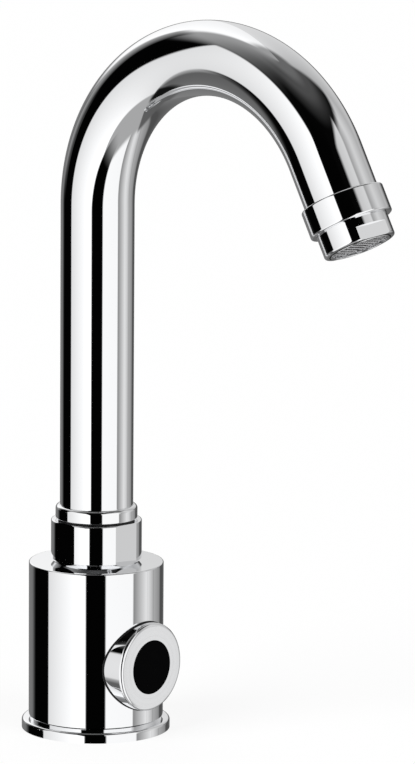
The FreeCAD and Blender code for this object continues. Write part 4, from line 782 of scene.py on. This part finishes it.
# %% Pieces
def plain_mesh(name, points, triangles, normals=None, edge=None):
    """A mesh of these triangles, smooth, with its normals and edge marks if given."""
    mesh = bpy.data.meshes.new(name)
    mesh.from_pydata(points.tolist(), [], triangles.tolist())
    mesh.shade_smooth()
    if edge is not None:
        mark = mesh.attributes.new("edge", "FLOAT", "FACE")
        mark.data.foreach_set("value", edge.astype(np.float32))
    if normals is not None:
        mesh.normals_split_custom_set(normals.reshape(-1, 3).tolist())
    return mesh


def shown(name, mesh, finish):
    """Puts a mesh in the scene under that name, with that finish."""
    piece = bpy.data.objects.new(name, mesh)
    bpy.context.scene.collection.objects.link(piece)
    if not mesh.materials:
        mesh.materials.append(finish.material)
    return piece


def add_piece(name, mesh, finish, body, replaced):
    """Shows a finished mesh on its body, in place of the parts that it stands for."""
    piece = shown(name, mesh, finish)
    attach(piece, body)
    if replaced:
        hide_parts(*replaced)


BODY_OF = {node: thing["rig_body"] for node, thing in NODES.items()}
print("bodies:", sorted(set(BODY_OF.values())))

# %% [markdown]
# The turned parts lie on three axes: the tap's own, the sensor's, and the nose's. The
# last follows from the bend. The bezel's skirt also comes a little nearer to the body:
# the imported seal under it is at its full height, and on a tap in use it is squeezed.

# %% Turned parts
SENSOR_AXIS = (Vector((0, 0, SENSOR_Z)), Vector((0, -1, 0)))
TAP_AXIS = (Vector((0, 0, 0)), Vector((0, 0, 1)))
BEND_ANGLE = math.radians(151.7)
BEND_RADIUS, BEND_START_Z = 53.2 * MM, 180.25 * MM
NOSE_DIRECTION = Vector((0, -math.sin(BEND_ANGLE), math.cos(BEND_ANGLE)))
NOSE_START = Vector((0, -BEND_RADIUS * (1 - math.cos(BEND_ANGLE)),
                     BEND_START_Z + BEND_RADIUS * math.sin(BEND_ANGLE)))
NOSE_AXIS = (NOSE_START, NOSE_DIRECTION)
TURNED_PARTS = {"base_flange": TAP_AXIS, "body_shell": TAP_AXIS, "spout_union": TAP_AXIS,
                "sensor_bezel": SENSOR_AXIS, "nose_collar": NOSE_AXIS,
                "aerator_casing": NOSE_AXIS}
BODY_RADIUS, BEZEL_RADIUS = 22.9 * MM, 15.1 * MM
SKIRT_CUT, SKIRT_HEIGHT = 0.82 * MM, 0.48 * MM
SAME_HEIGHT = 0.03 * MM
BEZEL_FACE_Y = -25.0 * MM
FACING_OUT = -0.99


def press_down(points, above, height):
    """Brings the points that lie this far above the round body down to a lesser height."""
    distance = np.hypot(points[:, 0], points[:, 1])
    near = (np.abs(distance - BODY_RADIUS - above) < SAME_HEIGHT) & (points[:, 1] < 0)
    depth = (BODY_RADIUS + height) ** 2 - points[near, 0] ** 2
    points[near, 1] = -np.sqrt(depth)


for node, axis_line in TURNED_PARTS.items():
    points, triangles, normals = welded(node)
    if node == "sensor_bezel":
        press_down(points, SKIRT_CUT, SKIRT_HEIGHT)
    edges = true_normals(points, triangles, normals, axis_line)
    mesh = plain_mesh(node + "_chrome", points, triangles, normals, edges)
    add_piece(node + "_chrome", mesh, chrome, BODY_OF[node], [node])
    if node == "sensor_bezel":
        mesh.materials.append(turned_chrome.material)
        for face in mesh.polygons:
            if face.normal.y < FACING_OUT and face.center.y < BEZEL_FACE_Y:
                face.material_index = 1
    print(node, len(triangles), "triangles,", int(edges.sum()), "on broken edges")

# %% [markdown]
# The seal under the bezel is squeezed by the clamp nut, so only a thin black lip of it
# shows round the skirt. It is the imported seal, pressed thin and drawn in. The black lip
# is partly the seal and partly painted shadow: a dark strip that stands for the shade in
# the narrow gap between skirt and body.

# %% Squeezed seal, with painted gap shadow
PACKED_SEAL_HEIGHT, SEAL_FOOT = 0.80 * MM, 0.02 * MM
SEAL_HEIGHT = SKIRT_HEIGHT - 0.01 * MM
RIM_FROM, SHADOW_LIP_WIDTH = 0.2 * MM, 0.24 * MM
points, triangles, _ = welded("bezel_seal")
press_down(points, PACKED_SEAL_HEIGHT, SEAL_HEIGHT)
spread = np.hypot(points[:, 0], points[:, 2] - SENSOR_Z)
rim = spread > BEZEL_RADIUS + RIM_FROM
inward = (BEZEL_RADIUS + SHADOW_LIP_WIDTH) / spread[rim]
points[rim, 0] *= inward
points[rim, 2] = SENSOR_Z + (points[rim, 2] - SENSOR_Z) * inward
on_body = (np.hypot(points[:, 0], points[:, 1]) - BODY_RADIUS) < SKIRT_HEIGHT / 2
lift = BODY_RADIUS + np.where(on_body, SEAL_FOOT, SEAL_HEIGHT)
points[:, 1] = -np.sqrt(lift ** 2 - points[:, 0] ** 2)
# Rubber lip round the skirt: partly the real seal, partly painted shadow in the gap.
shadow_lip_mesh = plain_mesh("bezel_lip", points, triangles)
add_piece("bezel_lip", shadow_lip_mesh, rubber, BODY_OF["bezel_seal"], ["bezel_seal"])
print("bezel lip:", len(triangles), "triangles")

# %% [markdown]
# The plunger's spring shortens when the plunger is drawn in. Its lower end stays in the
# armature tube and its upper end goes with the plunger. A copy of it stands in for the
# imported spring, and the heights of its two ends are found.

# %% Spring between tube and plunger
points, triangles, normals = welded("plunger_spring")
coil = shown("spring_coil", plain_mesh("spring_coil", points, triangles, normals), steel)
low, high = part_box("plunger_spring")
spring_x, spring_y = (low[0] + high[0]) / 2, (low[1] + high[1]) / 2
far_z, near_z = low[2], high[2]
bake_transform(coil)
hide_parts("plunger_spring")
print("spring from", round(far_z / MM, 2), "to", round(near_z / MM, 2), "mm")

# %% [markdown]
# ## Rings with rounded edges
# A lathe in code turns an outline of corners round an axis. Each corner may be rounded,
# and the normals come from the outline itself, so the mirror stays true where a flat
# wall runs into a round edge.

# %% Outline and lathe
def rounded_outline(corners, steps=8):
    """A closed outline of (radius, height, edge) corners, as points with their normals.

    The normals are those before and after the point; the last value marks a round edge.
    """
    count, marks = len(corners), []
    for i, (radius, height, edge) in enumerate(corners):
        here = Vector((radius, height))
        come = (here - Vector(corners[i - 1][:2])).normalized()
        leave = (Vector(corners[(i + 1) % count][:2]) - here).normalized()
        first, last = Vector((come.y, -come.x)), Vector((leave.y, -leave.x))
        if edge == 0:
            marks.append((here, first, last, False))
            continue
        angle = first.angle_signed(last) * -1
        centre = here - come * edge * math.tan(angle / 2) - first * edge
        for k in range(steps + 1):
            out = Matrix.Rotation(angle * k / steps, 2) @ first
            marks.append((centre + out * edge, out, out, k < steps))
    return marks


def lathe(name, corners, finish, body, replaced, place=None, sides=144):
    """Turns an outline round an axis into a closed piece with true normals."""
    marks = rounded_outline(corners)
    turns = np.arange(sides) * 2 * math.pi / sides
    place = place or Matrix.Identity(4)
    direction_place = place.to_3x3()

    def turned(flat, k):
        return Vector((flat.x * np.cos(turns[k]), flat.x * np.sin(turns[k]), flat.y))

    points = [place @ turned(mark[0], k) for mark in marks for k in range(sides)]
    faces, normals, edges = [], [], []
    for i, (_, _, leave, round_edge) in enumerate(marks):
        following = (i + 1) % len(marks)
        come = marks[following][1]
        for k in range(sides):
            after = (k + 1) % sides
            faces.append((i * sides + k, i * sides + after,
                          following * sides + after, following * sides + k))
            for flat, corner in ((leave, k), (leave, after), (come, after), (come, k)):
                normals.append(direction_place @ turned(flat, corner))
            edges.append(1.0 if round_edge else 0.0)
    mesh = bpy.data.meshes.new(name)
    mesh.from_pydata(points, [], faces)
    mesh.shade_smooth()
    mesh.attributes.new("edge", "FLOAT", "FACE").data.foreach_set("value", edges)
    mesh.normals_split_custom_set(normals)
    print(name, len(faces), "faces")
    add_piece(name, mesh, finish, body, replaced)


print("lathe ready")

# %% [markdown]
# The ring round the tube's foot has a deep round edge on top, which mirrors the dark
# ceiling as a fine line round the tube.

# %% Ring round the tube's foot
TUBE_FOOT_RADIUS = 12.47 * MM
LOW_EDGE, TOP_EDGE = 0.25 * MM, 1.25 * MM
low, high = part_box("base_ring")
lathe("base_ring_chrome", [(TUBE_FOOT_RADIUS, low[2], 0), (high[0], low[2], LOW_EDGE),
                           (high[0], high[2], TOP_EDGE), (TUBE_FOOT_RADIUS, high[2], 0)],
      chrome, "spout", ["base_ring"])

# %% [markdown]
# ## Running a geometry tree
# A tree is run by a modifier on an empty mesh. Its inputs are set by the sockets'
# identifiers, the evaluated result is copied to a plain mesh, and the helper object
# goes. Closed shells are turned so that their faces look outwards.

# %% Geometry tree helper
def run_tree(name, tree, finish, **values):
    """Evaluates a geometry tree with these inputs and gives back a plain mesh."""
    helper = bpy.data.objects.new(name, bpy.data.meshes.new(name + " start"))
    bpy.context.scene.collection.objects.link(helper)
    modifier = helper.modifiers.new("tree", "NODES")
    modifier.node_group = tree
    for item in tree.interface.items_tree:
        if item.item_type == "SOCKET" and item.in_out == "INPUT":
            key = item.name.replace(" ", "_")
            if item.name == "Material":
                modifier[item.identifier] = finish.material
            elif key in values:
                modifier[item.identifier] = values[key]
    helper.update_tag()
    bpy.context.view_layer.update()
    evaluated = helper.evaluated_get(bpy.context.evaluated_depsgraph_get())
    mesh = bpy.data.meshes.new_from_object(evaluated)
    bpy.data.objects.remove(helper)
    mesh.name = name
    return mesh


def outward(mesh):
    """Turns a closed shell's faces outwards if they look in."""
    shell = bmesh.new()
    shell.from_mesh(mesh)
    if shell.calc_volume(signed=True) < 0:
        bmesh.ops.reverse_faces(shell, faces=shell.faces)
    shell.to_mesh(mesh)
    shell.free()
    return mesh


def finish_tree(tree, geometry, sink, material):
    """Ends a tree as the export needs it: real meshes, with their material."""
    real = tree.nodes.new("GeometryNodeRealizeInstances")
    tree.links.new(geometry, real.inputs["Geometry"])
    paint = tree.nodes.new("GeometryNodeSetMaterial")
    tree.links.new(real.outputs["Geometry"], paint.inputs["Geometry"])
    tree.links.new(material.socket, paint.inputs["Material"])
    tree.links.new(paint.outputs["Geometry"], sink.inputs["Geometry"])


GEOMETRY = ("Geometry", "NodeSocketGeometry")
MATERIAL = ("Material", "NodeSocketMaterial", None)
print("geometry helper ready")

# %% [markdown]
# ## The swan neck
# The neck is one tube: a straight leg, one even bend and a short straight nose. Each
# point of it follows from two numbers, how far along the tube and how far round it, so
# a grid is wrapped by that rule. The first half of the grid's rows goes up the outside,
# the second half comes back down the bore, and the last row meets the first, which
# closes the wall at both ends. A mirror needs this evenness: a swept curve would show
# its joints.

# %% Swept tube tree
neck_tree, given, neck_out = group_tree(
    "swan neck", "GeometryNodeTree",
    [("Leg Bottom", FLOAT, 0.0), ("Bend Start", FLOAT, 0.1), ("Bend Radius", FLOAT, 0.05),
     ("Bend Angle", FLOAT, 2.6), ("Nose Length", FLOAT, 0.01), ("Tube Radius", FLOAT, 0.01),
     ("Wall", FLOAT, 0.001), ("Rows", "NodeSocketInt", 100), ("Sides", "NodeSocketInt", 64),
     MATERIAL], [GEOMETRY])
rows = given["Rows"]
grid = neck_tree.nodes.new("GeometryNodeMeshGrid")
neck_tree.links.new((rows * 2.0 + 1.0).socket, grid.inputs["Vertices X"])
neck_tree.links.new((given["Sides"] + 1.0).socket, grid.inputs["Vertices Y"])
grid_place = neck_tree.nodes.new("GeometryNodeInputPosition").outputs[0]
across, around, _ = parts_of(neck_tree, grid_place)
row = ((across + 0.5) * rows * 2.0).use("ROUND")
inner = row.use("GREATER_THAN", rows - 0.5) * row.use("LESS_THAN", rows * 2.0 - 0.5)
back = -row + rows * 2.0 - 1.0
place_in_row = (row + (back - row) * row.use("GREATER_THAN", rows - 0.5)).use("MAXIMUM", 0.0)
leg = given["Bend Start"] - given["Leg Bottom"]
bend = given["Bend Radius"] * given["Bend Angle"]
along = place_in_row / (rows - 1.0) * (leg + bend + given["Nose Length"])
turned_by = ((along - leg) / given["Bend Radius"]).use("MAXIMUM", 0.0)
turned_by = turned_by.use("MINIMUM", given["Bend Angle"])
beyond = (along - leg - bend).use("MAXIMUM", 0.0)
sine, cosine = turned_by.use("SINE"), turned_by.use("COSINE")
centre_y = -(given["Bend Radius"] * (-cosine + 1.0)) - beyond * sine
centre_z = (given["Leg Bottom"] + along.use("MINIMUM", leg) + given["Bend Radius"] * sine
            + beyond * cosine)
reach = given["Tube Radius"] - inner * given["Wall"]
round_angle = (around + 0.5) * (2.0 * math.pi)
out_x, out_n = reach * round_angle.use("COSINE"), reach * round_angle.use("SINE")
shape = neck_tree.nodes.new("GeometryNodeSetPosition")
neck_tree.links.new(grid.outputs["Mesh"], shape.inputs["Geometry"])
wrapped = vector(neck_tree, out_x, centre_y + out_n * cosine, centre_z + out_n * sine)
neck_tree.links.new(wrapped, shape.inputs["Position"])
close = neck_tree.nodes.new("GeometryNodeMergeByDistance")
close.inputs["Distance"].default_value = WELD
neck_tree.links.new(shape.outputs["Geometry"], close.inputs["Geometry"])
finish_tree(neck_tree, close.outputs["Geometry"], neck_out, given["Material"])
print("neck tree has", len(neck_tree.nodes), "nodes")

# %% [markdown]
# The neck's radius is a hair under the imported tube's, so that its finer mesh stays
# inside the frame's box at the top of the bend.

# %% Neck
SHARP_ANGLE = math.radians(40.0)
TUBE_RADIUS, TUBE_WALL = 12.43 * MM, 1.2 * MM
LEG_BOTTOM, NOSE_LENGTH = 74.48 * MM, 17.6 * MM
neck = outward(run_tree("swan_neck", neck_tree, chrome, Leg_Bottom=LEG_BOTTOM,
                        Bend_Start=BEND_START_Z, Bend_Radius=BEND_RADIUS,
                        Bend_Angle=BEND_ANGLE, Nose_Length=NOSE_LENGTH,
                        Tube_Radius=TUBE_RADIUS, Wall=TUBE_WALL, Rows=190, Sides=128))
neck.shade_smooth()
neck.set_sharp_from_angle(angle=SHARP_ANGLE)
add_piece("swan_neck", neck, chrome, "spout", ["spout_tube"])
print("swan neck:", len(neck.polygons), "faces")

# %% [markdown]
# ## The outlet's mesh
# The water leaves through a fine wire screen. A line of points carries copies of one
# straight wire. Every wire is shortened to the disc's edge and waved up and down by a
# cosine, with its neighbours half a wave apart. The second layer is the first turned
# over and a quarter round. With an odd number of wires the crossings fall on the crests
# and the layers weave; with the even number used here they fall between the crests, and
# the wires meet at half height.

# %% Wire screen tree
screen_tree, given, screen_out = group_tree(
    "woven screen", "GeometryNodeTree",
    [("Disc Radius", FLOAT, 0.01), ("Pitch", FLOAT, 0.001), ("Wire Radius", FLOAT, 0.0002),
     ("Wires", "NodeSocketInt", 10), MATERIAL], [GEOMETRY])
STEPS_ALONG_WIRE, WIRE_SIDES = 70, 6
tree = screen_tree
reach = given["Disc Radius"]
span = given["Pitch"] * (given["Wires"] - 1.0) / 2.0
row = tree.nodes.new("GeometryNodeMeshLine")
row.mode = "END_POINTS"
tree.links.new(given["Wires"].socket, row.inputs["Count"])
tree.links.new(vector(tree, -span, 0.0, 0.0), row.inputs["Start Location"])
tree.links.new(vector(tree, span, 0.0, 0.0), row.inputs["Offset"])
wire = tree.nodes.new("GeometryNodeCurvePrimitiveLine")
tree.links.new(vector(tree, 0.0, -reach, 0.0), wire.inputs["Start"])
tree.links.new(vector(tree, 0.0, reach, 0.0), wire.inputs["End"])
finer = tree.nodes.new("GeometryNodeResampleCurve")
finer.inputs["Count"].default_value = STEPS_ALONG_WIRE
tree.links.new(wire.outputs["Curve"], finer.inputs["Curve"])
copies = tree.nodes.new("GeometryNodeInstanceOnPoints")
tree.links.new(row.outputs["Mesh"], copies.inputs["Points"])
tree.links.new(finer.outputs["Curve"], copies.inputs["Instance"])
single = tree.nodes.new("GeometryNodeRealizeInstances")
tree.links.new(copies.outputs["Instances"], single.inputs["Geometry"])
x, y, _ = parts_of(tree, tree.nodes.new("GeometryNodeInputPosition").outputs[0])
chord = (-(x / reach) * (x / reach) + 1.0).use("MAXIMUM", 0.0).use("SQRT")
cut_y = y * chord
wave = ((cut_y / given["Pitch"] + (x / given["Pitch"]).use("ROUND")) * math.pi).use("COSINE")
woven = tree.nodes.new("GeometryNodeSetPosition")
tree.links.new(single.outputs["Geometry"], woven.inputs["Geometry"])
tree.links.new(vector(tree, x, cut_y, wave * given["Wire Radius"]), woven.inputs["Position"])
profile = tree.nodes.new("GeometryNodeCurvePrimitiveCircle")
profile.inputs["Resolution"].default_value = WIRE_SIDES
tree.links.new(given["Wire Radius"].socket, profile.inputs["Radius"])
solid = tree.nodes.new("GeometryNodeCurveToMesh")
solid.inputs["Fill Caps"].default_value = True
tree.links.new(woven.outputs["Geometry"], solid.inputs["Curve"])
tree.links.new(profile.outputs["Curve"], solid.inputs["Profile Curve"])
quarter = tree.nodes.new("GeometryNodeTransform")
quarter.inputs["Rotation"].default_value = (math.pi, 0.0, math.pi / 2)
tree.links.new(solid.outputs["Mesh"], quarter.inputs["Geometry"])
both = tree.nodes.new("GeometryNodeJoinGeometry")
tree.links.new(solid.outputs["Mesh"], both.inputs[0])
tree.links.new(quarter.outputs["Geometry"], both.inputs[0])
finish_tree(tree, both.outputs[0], screen_out, given["Material"])
print("screen tree has", len(screen_tree.nodes), "nodes")

# %% [markdown]
# The screen is made flat at the origin, and its mesh is then moved into the nose: a
# little inside the tip, and turned so that its wires don't line up with the flats.

# %% Screen in the nose
NOSE_TIP = 31.6 * MM
SCREEN_DEPTH = 1.15 * MM
SCREEN_TWIST = math.radians(28.0)
nose_x = Vector((1, 0, 0))
nose_axes = Matrix((nose_x, NOSE_DIRECTION.cross(nose_x), NOSE_DIRECTION)).transposed()
nose_place = Matrix.Translation(NOSE_START) @ nose_axes.to_4x4()
screen = run_tree("outlet_mesh", screen_tree, steel, Disc_Radius=9.9 * MM, Pitch=1.25 * MM,
                  Wire_Radius=0.24 * MM, Wires=16)
screen.transform(nose_place @ Matrix.Translation((0, 0, NOSE_TIP - SCREEN_DEPTH))
                 @ Matrix.Rotation(SCREEN_TWIST, 4, "Z"))
screen.shade_smooth()
add_piece("outlet_mesh", screen, steel, "spout", ["outlet_screen"])
print("outlet mesh:", len(screen.polygons), "faces")

# %% [markdown]
# Two rings finish the mouth: a bright rounded one that holds the mesh, and a thin dark
# one that seals it in the casing's lip.

# %% Rings in the mouth
SEATED = NOSE_TIP - 0.02 * MM
BORE_RADIUS, SLEEVE_RADIUS, RIM_RADIUS = 9.30 * MM, 9.58 * MM, 10.15 * MM
SLEEVE_END, RIM_TOP, RIM_EDGE = NOSE_TIP - 0.9 * MM, NOSE_TIP + 0.28 * MM, 0.20 * MM
lathe("mouth_ring", [(BORE_RADIUS, SLEEVE_END, 0), (SLEEVE_RADIUS, SLEEVE_END, 0),
                     (SLEEVE_RADIUS, SEATED, 0), (RIM_RADIUS, SEATED, 0),
                     (RIM_RADIUS, RIM_TOP, RIM_EDGE), (BORE_RADIUS, RIM_TOP, RIM_EDGE)],
      chrome, "spout", [], nose_place)

SEAL_BORE, SEAL_RADIUS = 10.10 * MM, 10.60 * MM
SEAL_TOP, SEAL_EDGE = NOSE_TIP + 0.10 * MM, 0.05 * MM
lathe("mouth_seal", [(SEAL_BORE, SEATED, 0), (SEAL_RADIUS, SEATED, 0),
                     (SEAL_RADIUS, SEAL_TOP, SEAL_EDGE), (SEAL_BORE, SEAL_TOP, 0)],
      rubber, "spout", [], nose_place)

# %% [markdown]
# ## Check the size and end
# The looks must stay inside the box of the frame that they were built on, so both boxes
# are written side by side.

# %% Size and end
bpy.context.scene.view_settings.view_transform = "Standard"
new_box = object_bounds()


def as_list(value):
    """Any nest of vectors, tuples and numbers as plain lists of numbers."""
    if isinstance(value, (int, float)):
        return float(value)
    return [as_list(part) for part in value]


{"cad": as_list(cad_box), "visual": as_list(new_box)}
print("frame box", as_list(cad_box), "looks box", as_list(new_box))
